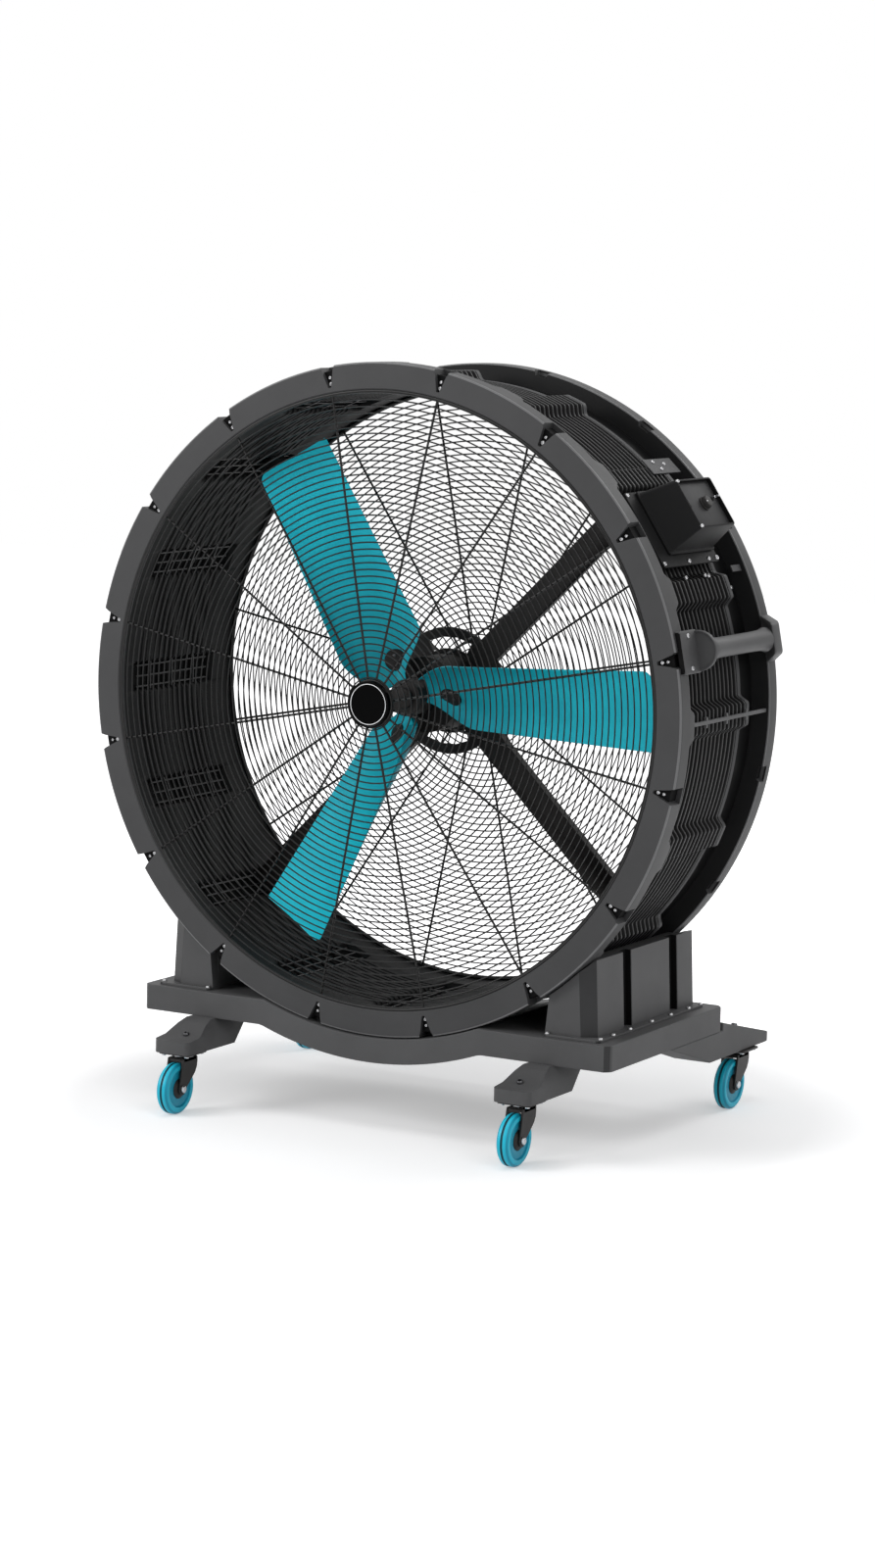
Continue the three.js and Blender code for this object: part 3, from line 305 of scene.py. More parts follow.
finishes = {
    "shell": moulded("shell_grey", (0.082, 0.082, 0.0835), 0.52),
    "ring": moulded("ring_grey", (0.05, 0.05, 0.0512), 0.5),
    # light grey for the painted highlight on the right seam bar
    "bar": moulded("seam_painted_highlight", (0.12, 0.12, 0.122), 0.5),
    "barrel": moulded("barrel_black", (0.004, 0.004, 0.0042), 0.45, 0.12),
    # lighter grey for the painted highlight on the fin tops and the column lattice
    "fin": moulded("painted_highlight_grey", (0.022, 0.022, 0.0225), 0.42, 0.25),
    # darker grey for the painted shade on the rear ring's front face
    "rearFace": moulded("rear_face_painted_shade", (0.012, 0.012, 0.0123), 0.5, 0.15),
    "collar": moulded("collar_grey", (0.06, 0.06, 0.062), 0.5, 0.2),
    # black for painted shade in recesses, grooves, gaps and the drum's inside
    "paintedShade": moulded("painted_shade_black", (0.004, 0.004, 0.0042), 0.7, 0.08),
    # lighter grey for the painted light on the drum's inner wall
    "wall": moulded("drum_wall_painted_light", (0.011, 0.011, 0.0112), 0.6, 0.1),
    "wire": moulded("guard_black", (0.004, 0.0038, 0.0038), 0.36, 0.3, 0.001, 0.0001),
    "badge": moulded("badge_black", (0.001, 0.001, 0.0011), 0.2, 0.03, 0.002, 0.00002, 0.1, 0.1),
    "bracket": moulded("bracket_black", (0.022, 0.0205, 0.02), 0.55, 0.15, 0.001, 0.0001),
    "hub": moulded("hub_black", (0.02, 0.0185, 0.018), 0.5, 0.2),
    "box": moulded("box_black", (0.013, 0.013, 0.0133), 0.45, 0.06),
    # darker grey for the painted shade on the cut corners of the tray and pedestals
    "paintedCornerShade": moulded("corner_painted_shade", (0.04, 0.04, 0.041), 0.5, 0.2),
    # lighter grey for the painted highlight on the rings' front edges
    "edge": moulded("lit_edge", (0.16, 0.16, 0.163), 0.4, 0.3),
    "panel": moulded("panel_grey", (0.036, 0.036, 0.037), 0.5, 0.12),
    "blade": bladeColour("blade_teal", (0.014, 0.76, 0.97)),
    "tyre": moulded("tyre_teal", (0.014, 0.56, 0.76), 0.36, 0.35, 0.002, 0.0001, 0.08, 0.1),
    "rim": moulded("rim_teal", (0.01, 0.34, 0.5), 0.4, 0.35, 0.002, 0.0001, 0.08, 0.1),
    "groove": moulded("tyre_groove", (0.008, 0.05, 0.07), 0.5),
    "caster": moulded("caster_black", (0.016, 0.0145, 0.014), 0.42, 0.25, 0.001, 0.0001),
    "steel": metal("turned_steel", (0.55, 0.56, 0.58), 0.28),
    "chrome": metal("chrome_ring", (0.78, 0.79, 0.8), 0.12, (1, 1, 1), 0.02),
    "winding": metal("copper_winding", (0.42, 0.17, 0.07), 0.4, (1, 60, 1), 0.004),
    "card": moulded("circuit_green", (0.02, 0.11, 0.04), 0.45, 0.3, 0.004, 0.0003),
    "screw": metal("screw_steel", (0.5, 0.5, 0.51), 0.34, (1, 1, 1), 0.004),
    "darkScrew": metal("screw_black", (0.1, 0.1, 0.105), 0.35, (1, 1, 1), 0.004),
}
print("finishes ready")


# workshop: parts are (points, faces) in mm
def grid(rows, around=True, profile=True):
    rows = np.asarray(rows, float)
    n, m = rows.shape[:2]
    faces = []
    for i in range(n if around else n - 1):
        a, b = i * m, (i + 1) % n * m
        for j in range(m if profile else m - 1):
            k = (j + 1) % m
            faces.append((a + j, b + j, b + k, a + k))
    return rows.reshape(-1, 3), faces


def loft(rings):
    points, faces = grid(rings, False, True)
    m, last = len(rings[0]), (len(rings) - 1) * len(rings[0])
    return points, faces + [tuple(range(m)), tuple(reversed(range(last, last + m)))]


def lathe(profile, sides, closed=True):
    # profile of (radius, y) turned round the Y axis
    rows = []
    for i in range(sides):
        a = 2 * math.pi * i / sides
        rows.append([(r * math.cos(a), y, r * math.sin(a)) for r, y in profile])
    points, faces = grid(rows, True, closed)
    if not closed:
        m = len(profile)
        faces.append(tuple(i * m for i in range(sides)))
        faces.append(tuple(i * m + m - 1 for i in reversed(range(sides))))
    return points, faces


# a turned part with its axis laid along X or stood upright
alongX, upright = [1, 0, 2], [0, 2, 1]


def turned(profile, sides, place, axes, closed=True):
    points, faces = lathe(profile, sides, closed)
    return points[:, axes] + np.array(place), faces


def block(x, y, z):
    points = [(x[i], y[j], z[k]) for i in (0, 1) for j in (0, 1) for k in (0, 1)]
    faces = [(0, 1, 3, 2), (4, 6, 7, 5), (0, 4, 5, 1), (2, 3, 7, 6), (0, 2, 6, 4), (1, 5, 7, 3)]
    return np.array(points, float), faces


def prism(outline, low, high, axis="y"):
    # outline of (x, z) points pushed along y, or of (y, z) points pushed along x
    n = len(outline)
    ends = [[(p, at, q) if axis == "y" else (at, p, q) for p, q in outline] for at in (low, high)]
    faces = [tuple(range(n)), tuple(reversed(range(n, 2 * n)))]
    faces += [(i, (i + 1) % n, (i + 1) % n + n, i + n) for i in range(n)]
    return np.array(ends[0] + ends[1], float), faces


def rod(a, b, radius, sides=8):
    a, b = Vector(a), Vector(b)
    spin = (b - a).to_track_quat("Z", "Y")
    rows = []
    for i in range(sides):
        t = 2 * math.pi * i / sides
        off = spin @ Vector((radius * math.cos(t), radius * math.sin(t), 0))
        rows.append([tuple(a + off), tuple(b + off)])
    points, faces = grid(rows, True, False)
    faces += [tuple(2 * i for i in range(sides)), tuple(2 * i + 1 for i in reversed(range(sides)))]
    return points, faces


def hoop(radius, depth, thick, segments=160, sides=6):
    rows = []
    for i in range(segments):
        a = 2 * math.pi * i / segments
        rows.append([
            ((radius + thick * math.cos(t)) * math.cos(a), depth + thick * math.sin(t),
             (radius + thick * math.cos(t)) * math.sin(a))
            for t in np.linspace(0, 2 * math.pi, sides, endpoint=False)])
    return grid(rows)


def roundRect(p, q, radius, steps=4):
    # corners of the rectangle p[0]..p[1] by q[0]..q[1], rounded
    ring = []
    for i, (cp, cq) in enumerate(((p[1], q[1]), (p[0], q[1]), (p[0], q[0]), (p[1], q[0]))):
        sp, sq = ((-1, -1), (1, -1), (1, 1), (-1, 1))[i]
        for t in np.linspace(0, math.pi / 2, steps):
            a = t + i * math.pi / 2
            ring.append((cp + sp * radius + radius * math.cos(a), cq + sq * radius + radius * math.sin(a)))
    return ring


def plateAt(span, levels, radius, axis=0):
    # built up along an axis through levels of (place, inset)
    a, b, c, d = span
    rings = []
    for at, s in levels:
        outline = roundRect((a + s, b - s), (c + s, d - s), radius)
        rings.append([(*p[:axis], at, *p[axis:]) for p in outline])
    return loft(rings)


def moved(part, by=(0, 0, 0), degrees=0.0):
    points, faces = part
    return turn(np.asarray(points, float) + np.array(by, float), degrees), faces


def gather(parts):
    points, faces, start = [], [], 0
    for p, f in parts:
        points.append(np.asarray(p, float).reshape(-1, 3))
        faces += [tuple(v + start for v in face) for face in f]
        start += len(points[-1])
    return np.concatenate(points), faces


def makePiece(name, parts, finish, body=mainBody, onFloor=False, sharp=35, stands=()):
    points, faces = gather(parts)
    points = points + (drum["middle"], drum["face"], 0 if onFloor else drum["axis"])
    mesh = bpy.data.meshes.new(name)
    mesh.from_pydata((points / 1000).tolist(), [], faces)
    return finishPiece(name, mesh, finish, body, sharp, stands)


def finishPiece(name, mesh, finish, body, sharp, stands):
    bm = bmesh.new()
    bm.from_mesh(mesh)
    bmesh.ops.remove_doubles(bm, verts=bm.verts, dist=2e-6)
    bmesh.ops.dissolve_degenerate(bm, dist=1e-6, edges=bm.edges)
    bmesh.ops.recalc_face_normals(bm, faces=bm.faces)
    bm.to_mesh(mesh)
    bm.free()
    mesh.shade_smooth()
    mesh.set_sharp_from_angle(angle=math.radians(sharp))
    mesh.materials.clear()
    mesh.materials.append(finishes[finish])
    piece = bpy.data.objects.new(name, mesh)
    bpy.context.scene.collection.objects.link(piece)
    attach(piece, body)
    if stands:
        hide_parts(*stands)
    return piece


# a second finish for the faces that pass a test on their middle and normal, in the drum's own mm
def paint(piece, finish, test):
    mesh = piece.data
    mesh.materials.append(finishes[finish])
    for face in mesh.polygons:
        x, y, z = face.center
        spot = (x * 1000 - drum["middle"], y * 1000 - drum["face"], z * 1000 - drum["axis"])
        if test(spot, face.normal):
            face.material_index = len(mesh.materials) - 1
    return piece


def soften(piece, width, steps=2, angle=30):
    edge = piece.modifiers.new("soft_edges", "BEVEL")
    edge.width = width / 1000
    edge.segments = steps
    edge.limit_method = "ANGLE"
    edge.angle_limit = math.radians(angle)
    edge.harden_normals = True
    return piece


# large flats stay flat beside rounded edges
def evenOut(piece):
    even = piece.modifiers.new("even_normals", "WEIGHTED_NORMAL")
    even.keep_sharp, even.weight = True, 60
    return piece


# a CAD solid carried over with rounded edges
def dress(node, finish, width=1.5, steps=2, sharp=35, merge=True):
    mesh = frame["nodes"][node].data.copy()
    bm = bmesh.new()
    bm.from_mesh(mesh)
    bmesh.ops.remove_doubles(bm, verts=bm.verts, dist=1e-6)
    if merge:
        bmesh.ops.dissolve_limit(bm, angle_limit=math.radians(0.5), verts=bm.verts, edges=bm.edges)
    bm.to_mesh(mesh)
    bm.free()
    piece = finishPiece(f"{node}_cover", mesh, finish, bodyOf[node], sharp, (node,))
    return soften(piece, width, steps) if width else piece


# pan head with a six-sided socket, its axis out of the surface
def screwHead(place, out, radius=6.0, height=4.5):
    out = Vector(out).normalized()
    spin = out.to_track_quat("Z", "Y")
    profile = [(0.001, 0.35), (0.46, 0.35), (0.5, 0.98), (0.72, 1.0), (0.93, 0.72), (1.0, 0.3), (1.0, -0.3)]
    sides = 12
    rows = []
    for i in range(sides):
        a = 2 * math.pi * i / sides
        row = []
        for j, (r, h) in enumerate(profile):
            if j in (1, 2) and i % 2:
                r *= math.cos(math.pi / 6)
            p = spin @ Vector((radius * r * math.cos(a), radius * r * math.sin(a), height * h))
            row.append(tuple(Vector(place) + p))
        rows.append(row)
    return grid(rows, True, False)


def smooth(t):
    t = min(1, max(0, t))
    return t * t * (3 - 2 * t)


# rings: sixteen notches cut from the rim inwards, between sixteen raised columns
ring = {
    "radius": 800, "rearRadius": 792, "notches": 16, "first": 11.25,
    # a notch: half widths at the rim, the waist and the foot, and how deep they lie
    "mouth": 19.5, "waist": 15, "foot": 4, "waistDepth": 12, "footDepth": 51, "shelf": 11, "hole": 44,
    # the band behind the face, and how much further back it reaches on a column
    "band": 52, "columnBand": 22,
    # a column's half angles, on top and at its foot
    "flat": 1.8, "columnFoot": 3.3,
}
columnStep = 360 / ring["notches"]

# angles about a column's middle that its shape needs
columnRests = [0, 0.9, 1.6, 1.8, 2.1, 2.4, 2.7, 3.0, 3.3, 3.6]


def column(angle):
    off = abs((math.degrees(angle) + columnStep / 2) % columnStep - columnStep / 2)
    return smooth((ring["columnFoot"] - off) / (ring["columnFoot"] - ring["flat"]))


def ringRows(radius, profile):
    near = [3.5, 4.5, 14.5, 15.5, 19, 20, 24]
    step = 2 * math.pi / ring["notches"]
    offsets = [-v / radius for v in reversed(near)] + [v / radius for v in near]
    spots = []
    for k in range(ring["notches"]):
        centre = math.radians(ring["first"]) + k * step
        spots += [(centre + o, abs(o) * radius) for o in offsets]
        rests = [math.radians(side * o) for side in (-1, 1) for o in columnRests + [5, 6.5, 8]]
        spots += [(centre + step / 2 + o, 99) for o in sorted(set(rests))]
    waist, foot = radius - ring["waistDepth"], radius - ring["footDepth"]
    rows = []
    for a, off in spots:
        vee = np.interp(off, [ring["foot"], ring["waist"], ring["mouth"]], [foot, waist, radius])
        vee = vee if off < ring["mouth"] else radius
        deep = max(vee, waist)
        limits = {"": 9999, "vee": vee, "deep": deep, "back": deep - 9}
        rows.append([(min(r, limits[cut]) * math.cos(a), y, min(r, limits[cut]) * math.sin(a))
                     for r, y, cut in profile(column(a))])
    return grid(rows)


# profiles of (radius, depth, cut), where a cut is what the notches take away
def frontProfile(rise):
    rim, shelf, hole = ring["radius"], ring["shelf"], ring["hole"]
    end = ring["band"] + ring["columnBand"] * rise
    low, rest = 748 + 22 * rise, max(104, end + 5)
    return [(736, 22, ""), (736, 3, ""), (739, 0, ""), (796, 0, "vee"), (799, 1.2, "vee"), (rim, 4, "vee"),
            (rim, shelf, "vee"), (rim, shelf, "deep"), (rim, hole, "deep"), (rim, hole, ""),
            (rim, end - 5, ""), (798.5, end - 1.5, ""), (795, end, ""), (low, rest, ""),
            (low - 4, rest, ""), (789, end - 5, "back"), (786, 22, "back")]


def rearProfile(rise):
    rim, y = ring["rearRadius"], drum["rearFace"]
    return [(737, y + 16, ""), (737, y + 2, ""), (739, y, ""), (788.5, y, "deep"), (791.3, y + 0.8, "deep"),
            (rim, y + 3, "deep"), (rim, y + 20, "deep"), (rim, y + 20, ""), (rim, y + 39, ""),
            (791, y + 41.5, ""), (787, y + 42, ""), (787, y + 20, ""), (783, y + 16, "back")]


def radiusOf(spot):
    return math.hypot(spot[0], spot[2])


def notchFloor(spot, rim):
    return abs(radiusOf(spot) - ring[rim] + ring["waistDepth"]) < 0.6


frontRing = makePiece("front_ring_shell", [ringRows(ring["radius"], frontProfile)], "ring", sharp=30,
                      stands=("front_ring",))
rearRing = makePiece("rear_ring_shell", [ringRows(ring["rearRadius"], rearProfile)], "ring", sharp=30,
                     stands=("rear_ring",))
# the rear ring's front face is painted darker than the rest of the ring: painted shade between the barrel and
# the rim
paint(rearRing, "rearFace", lambda spot, out: out.y < -0.6 and radiusOf(spot) < ring["rearRadius"] - 4)
# the notch floors and shelves are painted black: painted shade in the recesses
paint(rearRing, "paintedShade", lambda spot, out: spot[1] < drum["rearFace"] + 20
      and notchFloor(spot, "rearRadius"))
paint(frontRing, "paintedShade", lambda spot, out: (out.y < -0.6 and abs(spot[1] - ring["shelf"]) < 1)
      or (ring["shelf"] < spot[1] < ring["hole"] and notchFloor(spot, "radius")))
# a lighter grey painted on each ring's outer front edge: a painted highlight
for shell, rim, start in ((frontRing, "radius", 0), (rearRing, "rearRadius", drum["rearFace"])):
    def onEdgeHighlight(spot, out):
        return radiusOf(spot) > ring[rim] - 3.8 and spot[1] < start + 3.9 and out.y < -0.1

    evenOut(paint(shell, "edge", onEdgeHighlight))

ringScrews = []
for k in range(ring["notches"]):
    a = ring["first"] + k * columnStep
    for drop, y, out in ((0, ring["shelf"], -1), (8, drum["rearFace"] + 16, 1)):
        ringScrews += [moved(screwHead((r - drop, y, 0), (0, out, 0), size, 3.5), degrees=a)
                       for r, size in ((758, 5), (773, 4))]
makePiece("ring_screws", ringScrews, "screw", sharp=30)
print("rings ready")

# barrel: fins round the drum, carried over the raised columns
barrel = {
    "fins": 15, "start": 76, "end": 390, "gap": 744, "fin": 11, "rise": 22,
    "inner": 737.5, "front": 24, "collarEnd": 420, "back": 490.7,
}


def barrelRows():
    b = barrel
    pitch = (b["end"] - b["start"]) / b["fins"]
    top = b["gap"] + b["fin"]
    outer = [(b["front"], b["gap"], 0.0), (b["start"] - 14, b["gap"], 0.0), (b["start"] - 10, b["gap"], 0.25),
             (b["start"] - 5, b["gap"], 0.8)]
    for i in range(b["fins"]):
        y = b["start"] + i * pitch
        outer += [(y + pitch * t, b["gap"] + b["fin"] * h, 1.0) for t, h in
                  ((0.02, 0.0), (0.5, 0.0), (0.62, 0.85), (0.67, 1.0), (0.85, 1.0), (0.92, 0.8))]
    end = b["collarEnd"]
    outer += [(b["end"], b["gap"], 1.0), (b["end"] + 2, top - 1, 1.0), (b["end"] + 4, top, 1.0),
              (end - 13, top, 1.0), (end - 10, top - 1, 0.96), (end - 4, b["gap"] + 5, 0.5),
              (end, b["gap"], 0.05), (end + 4, b["gap"], 0.0), (b["back"], b["gap"], 0.0)]
    inner = [(b["back"], b["inner"], 0.0), (end, b["inner"], 0.0), (end - 6, b["inner"], 0.5),
             (end - 14, b["inner"], 0.95)]
    for i in reversed(range(b["fins"])):
        y = b["start"] + i * pitch
        inner += [(y + pitch * t, b["inner"] + h, 0.95)
                  for t, h in ((0.9, 4.0), (0.6, 4.0), (0.5, 0.0), (0.0, 0.0))]
    inner += [(b["start"] - 6, b["inner"], 0.7), (b["start"] - 12, b["inner"], 0.0),
              (b["front"], b["inner"], 0.0)]
    rows = []
    rests = columnRests + [4.9, 6.2, 7.5, 8.8, 10.1]
    offsets = sorted({side * o for side in (-1, 1) for o in rests} | {columnStep / 2})
    for a in (math.radians(columnStep * k + o) for k in range(ring["notches"]) for o in offsets):
        hump = b["rise"] * column(a)
        rows.append([((r + hump * lift) * math.cos(a), y, (r + hump * lift) * math.sin(a))
                     for y, r, lift in outer + inner])
    return grid(rows)


def facesAxis(spot, out):
    return spot[0] * out.x + spot[2] * out.z < 0


barrelSkin = makePiece("barrel_skin", [barrelRows()], "barrel", sharp=38, stands=("barrel_shell",))
# the faces towards the axis are painted black as shade, then the inner wall between the columns' pockets a
# lighter grey as painted light
paint(barrelSkin, "paintedShade", facesAxis)
paint(barrelSkin, "wall", lambda spot, out: facesAxis(spot, out) and radiusOf(spot) < 743)

# inside each column, bars along the drum and ribs across them, in the lighter grey of a painted highlight
lattice = {
    # each one's height from and to, its ends and half its thickness
    "bar": (746, 750, 92, 402, 1.6), "rib": (744, 750, -34, 34, 2),
    "bars": (-26, 0, 26), "ribs": (150, 246, 342),
}


def latticeParts():
    low, high, start, end, half = lattice["bar"]
    bars = [block((low, high), (start, end), (z - half, z + half)) for z in lattice["bars"]]
    low, high, start, end, half = lattice["rib"]
    return bars + [block((low, high), (y - half, y + half), (start, end)) for y in lattice["ribs"]]


lined = [moved(part, degrees=columnStep * k) for k in range(ring["notches"]) for part in latticeParts()]
makePiece("column_lattice", lined, "fin")


def onCollar(spot, out):
    return not facesAxis(spot, out) and abs(spot[1] - 400) < 8 and abs(out.y) < 0.5


paint(barrelSkin, "collar", onCollar)
finPitch = (barrel["end"] - barrel["start"]) / barrel["fins"]


# the tops of the fins are painted a lighter grey: a painted highlight
def onFinHighlight(spot, out):
    share = (spot[1] - barrel["start"]) / finPitch
    return 0 < share < barrel["fins"] and 0.64 < share % 1 < 0.9 and not facesAxis(spot, out)


paint(barrelSkin, "fin", onFinHighlight)
# the right seam bar gets a lighter grey than its twin on the left: a painted highlight
for side in ("right", "left"):
    dress(f"seam_bar_{side}", "collar" if side == "left" else "bar", 2)

# small fixings beside the control box: a plate on the next column, a lug and screws below
fixings = {
    # a plate and a lug: from angle to angle, and from depth to depth
    "plates": [(45.2, 48.6, 326, 468), (24.8, 26.0, 440, 488)],
    "base": 777, "top": 780.5, "radius": 778,
    # screws: angle, depth and seat
    "screws": [(47.8, 365, 780), (47.2, 412, 780), (46.1, 380, 780), (24.9, 191, 778), (24.9, 291, 778),
               (24.7, 308, 778), (22.6, 473, 745)],
}
plates = []
for low, high, start, end in fixings["plates"]:
    half = fixings["radius"] * math.radians(high - low) / 2
    plate = block((fixings["base"], fixings["top"]), (start, end), (-half, half))
    plates.append(moved(plate, degrees=(low + high) / 2))
soften(makePiece("barrel_plates", plates, "collar"), 1)
heads = [moved(screwHead((r, y, 0), (1, 0, 0), 5, 4), degrees=a) for a, y, r in fixings["screws"]]
makePiece("barrel_screws", heads, "screw", sharp=30)
print("barrel ready")

# guards: wires in a shallow cone on spokes in front, in a flat plane behind
guards = {
    "wires": 43, "first": 62, "last": 729, "wire": 1.85, "spoke": 2.9, "spokeEnds": (52, 734),
    "rim": 4.2, "rimRadius": 733, "edge": 735.7, "plate": 57, "dish": 30, "front": 3.5, "rear": 502,
}


def guardParts(depth, back, dish):
    g = guards

    def lie(r):
        return depth - dish * (1 - (r - g["first"]) / (g["edge"] - g["first"]))

    parts = []
    for r in np.linspace(g["first"], g["last"], g["wires"]):
        parts.append(hoop(r, lie(r), g["wire"], 96 if r < 350 else 160))
    parts.append(hoop(g["rimRadius"], depth + back * 2, g["rim"], 192, 8))
    behind = back * (g["wire"] + g["spoke"])
    for k in range(ring["notches"]):
        spoke = rod(*((r, lie(r) + behind, 0) for r in g["spokeEnds"]), g["spoke"], 8)
        parts.append(moved(spoke, degrees=ring["first"] + k * columnStep))
    r, face = g["plate"], lie(g["plate"] - 1)
    plate = [(0.01, face - 1), (r, face - 1), (r + 2, face + 1), (r + 2, face + 5), (0.01, face + 5)]
    parts.append(lathe(plate, 64, False))
    return parts


for where, back, dish in (("front", 1, guards["dish"]), ("rear", -1, 0)):
    makePiece(f"{where}_guard_wires", guardParts(guards[where], back, dish), "wire", sharp=60,
              stands=(f"{where}_guard",))

# badge: bare disc with a thin bright ring
badge = [(0.01, -37.6), (45.8, -37.6), (46.4, -38.2), (48.8, -38.2), (49.4, -38), (53.6, -39),
         (55.4, -38.2), (56, -36), (56, -28.3), (0.01, -28.3)]
makePiece("badge_disc", [lathe(badge, 96, False)], "badge", sharp=30, stands=("badge",))
trim = [(46.7, -38), (46.9, -39), (48.3, -39), (48.6, -38)]
makePiece("badge_trim", [lathe(trim, 96)], "chrome", sharp=50)
print("guards ready")

# rotor: lead and trail are a blade's reach ahead of and behind its own line, at the three radii
blade = {
    "plane": 152, "phase": 1.0, "radii": (45, 150, 655), "lead": (45, 87, 100), "trail": (10, 75, 93),
    # from full width to tip: pitch, thickness, camber and how square the camber is
    "pitch": (40, 10), "thick": (12, 7), "rise": (31, 8), "power": (4, 2.4), "round": 20, "corner": 4,
    "seat": (30, -15),
}


def bladeParts():
    b = blade
    start, full, tip = b["radii"]
    end = tip - b["round"]
    radii = list(np.linspace(start, full, 10)) + list(np.linspace(full, end, 22))[1:]
    radii += [end + b["round"] * math.sin(t) for t in np.linspace(0, math.pi / 2, 9)[1:]]
    rows = []
    for r in radii:
        inner = min(1, (r - start) / (full - start))
        share = max(0, (r - full) / (tip - full))
        pitch, thick, rise, power = (b[key][0] + (b[key][1] - b[key][0]) * share
                                     for key in ("pitch", "thick", "rise", "power"))
        pitch = math.radians(pitch)
        lead = b["lead"][0] + (b["lead"][1] - b["lead"][0]) * math.sin(inner * math.pi / 2)
        trail = b["trail"][0] + (b["trail"][1] - b["trail"][0]) * smooth(inner)
        lead += (b["lead"][2] - b["lead"][1]) * share
        trail += (b["trail"][2] - b["trail"][1]) * share
        over = min(1, max(0, r - end) / b["round"])
        lead -= b["round"] * (1 - math.sqrt(1 - over * over))
        over = min(1, max(0, r - tip + b["corner"]) / b["corner"])
        trail -= b["corner"] * (1 - math.sqrt(1 - over * over))
        half = []
        for t in np.linspace(0, math.pi, 19):
            u = (1 - math.cos(t)) / 2
            along = (lead + trail) / math.cos(pitch) * u - trail / math.cos(pitch)
            fat = thick / 2 * min(1, 2.2 * math.sqrt(max(0, u * (1 - u)))) + 0.6
            half.append((along, rise * (1 - abs(2 * u - 1) ** power), fat))
        section = [(a, h + f) for a, h, f in half] + [(a, h - f) for a, h, f in reversed(half)]
        rows.append([(r, b["plane"] - a * math.sin(pitch) + h * math.cos(pitch),
                      a * math.cos(pitch) + h * math.sin(pitch)) for a, h in section])
    return loft(rows)


# a part made flat with +Y behind the blade, brought to the seat at the blade's root
def atRoot(part):
    points, faces = part
    x, y, z = np.asarray(points, float).reshape(-1, 3).T
    y, z, a = y + blade["seat"][0], z + blade["seat"][1], math.radians(blade["pitch"][0])
    back = y * math.cos(a) - z * math.sin(a) + blade["plane"]
    return np.stack([x, back, y * math.sin(a) + z * math.cos(a)], axis=1), faces


def ends(radius, low, high, edge, inner=0.01):
    # a disc's profile with rounded rims
    cut = edge * 0.3
    return [(inner, low), (radius - edge, low), (radius - cut, low + cut), (radius, low + edge),
            (radius, high - edge), (radius - cut, high - cut), (radius - edge, high), (inner, high)]


hub = {
    "radius": 44, "front": 130, "back": 210, "cap": 26, "capFront": 117.7, "capBack": 129.7,
    "pad": (34, 150, 30), "clamp": 27.5, "clampAt": 100, "clampScrews": (-11, 11),
}
hubParts = [lathe(ends(hub["radius"], hub["front"], hub["back"], 6), 64, False)]
reach = hub["pad"]
clamps = []
for k in range(3):
    angle = blade["phase"] + 120 * k
    makePiece(f"blade_{k + 1}_skin", [moved(bladeParts(), degrees=angle)], "blade", "rotor", sharp=50,
              stands=(f"blade_{k + 1}",))
    pad = [[(x, y, z) for x, z in roundRect((reach[0], reach[1] - s), (-reach[2] + s, reach[2] - s), 12)]
           for y, s in ((6.3, 1), (8, 0), (17, 0), (20.3, 3))]
    hubParts.append(moved(atRoot(loft(pad)), degrees=angle))
    disc = [(0.01, -13), (9, -13), (22, -12), (26.2, -10.4), (hub["clamp"], -8), (hub["clamp"], -6.3),
            (0.01, -6.3)]
    disc = moved(lathe(disc, 40, False), (hub["clampAt"], 0, 0))
    makePiece(f"blade_clamp_{k + 1}_disc", [moved(atRoot(disc), degrees=angle)], "hub", "rotor", sharp=40,
              stands=(f"blade_clamp_{k + 1}",))
    clamps += [moved(atRoot(screwHead((hub["clampAt"] + x, -12.4, 0), (0, -1, 0), 4, 3)), degrees=angle)
               for x in hub["clampScrews"]]
makePiece("hub_core", hubParts, "hub", "rotor", sharp=40, stands=("hub",))
nose = lathe(ends(hub["cap"], hub["capFront"], hub["capBack"], 5), 48, False)
makePiece("hub_nose", [nose], "hub", "rotor", sharp=40, stands=("hub_cap",))
makePiece("clamp_screws", clamps, "darkScrew", "rotor", sharp=30)
print("rotor ready")

# bracket and motor
for node in ("motor_bracket", "motor_shell", "motor_rear_cover"):
    dress(node, "bracket", 0, merge=False)
motorFinishes = {
    "motor_stator": "winding", "motor_rotor": "steel", "motor_shaft": "steel",
    "front_bearing": "steel", "rear_bearing": "steel", "drive_board": "card",
}
for node, finish in motorFinishes.items():
    for spot in frame["nodes"][node].material_slots:
        spot.material = finishes[finish]
print("bracket ready")

# handle beside the control box: pad and tongue on the front ring, grip, slanted leg on the rear ring
handle = {
    "angle": 11.25, "shift": 15, "centre": 834, "grip": 23.6, "outer": 859, "seat": 798.4, "rearSeat": 790.4,
    "bend": (812, 47), "middle": 822, "screws": (-37, 37),
}


def atHandle(part):
    return moved(part, (0, 0, handle["shift"]), handle["angle"])


h = handle
padRows = [[(x, y, z) for y, z in roundRect((12 + s, 95), (-50 + s, 50 - s), 5)]
           for x, s in ((h["seat"], 0), (808, 0), (809.8, 0.8), (810.8, 3))]
height, wide = h["bend"]
bend = [(height + wide * math.cos(t), wide * math.sin(t)) for t in np.linspace(math.pi / 2, -math.pi / 2, 25)]
rimEdge = [(h["seat"] + 0.5, wide)] + bend + [(h["seat"] + 0.5, -wide)]


def shrunk(outline, share):
    middle = handle["middle"]
    return [(middle + (x - middle) * (1 - 3.4 * share / 37), z * (1 - 3.4 * share / 40)) for x, z in outline]


tongue = [[(x, y, z) for x, z in shrunk(rimEdge, share)]
          for y, share in ((95.7, 0.0), (88, 0.0), (86.4, 0.25), (86, 0.6), (86.4, 1.0), (89.5, 1.15))]
pad = makePiece("handle_pad", [atHandle(loft(padRows)), atHandle(loft(tongue))], "shell", sharp=32,
                stands=("handle_front_bracket",))
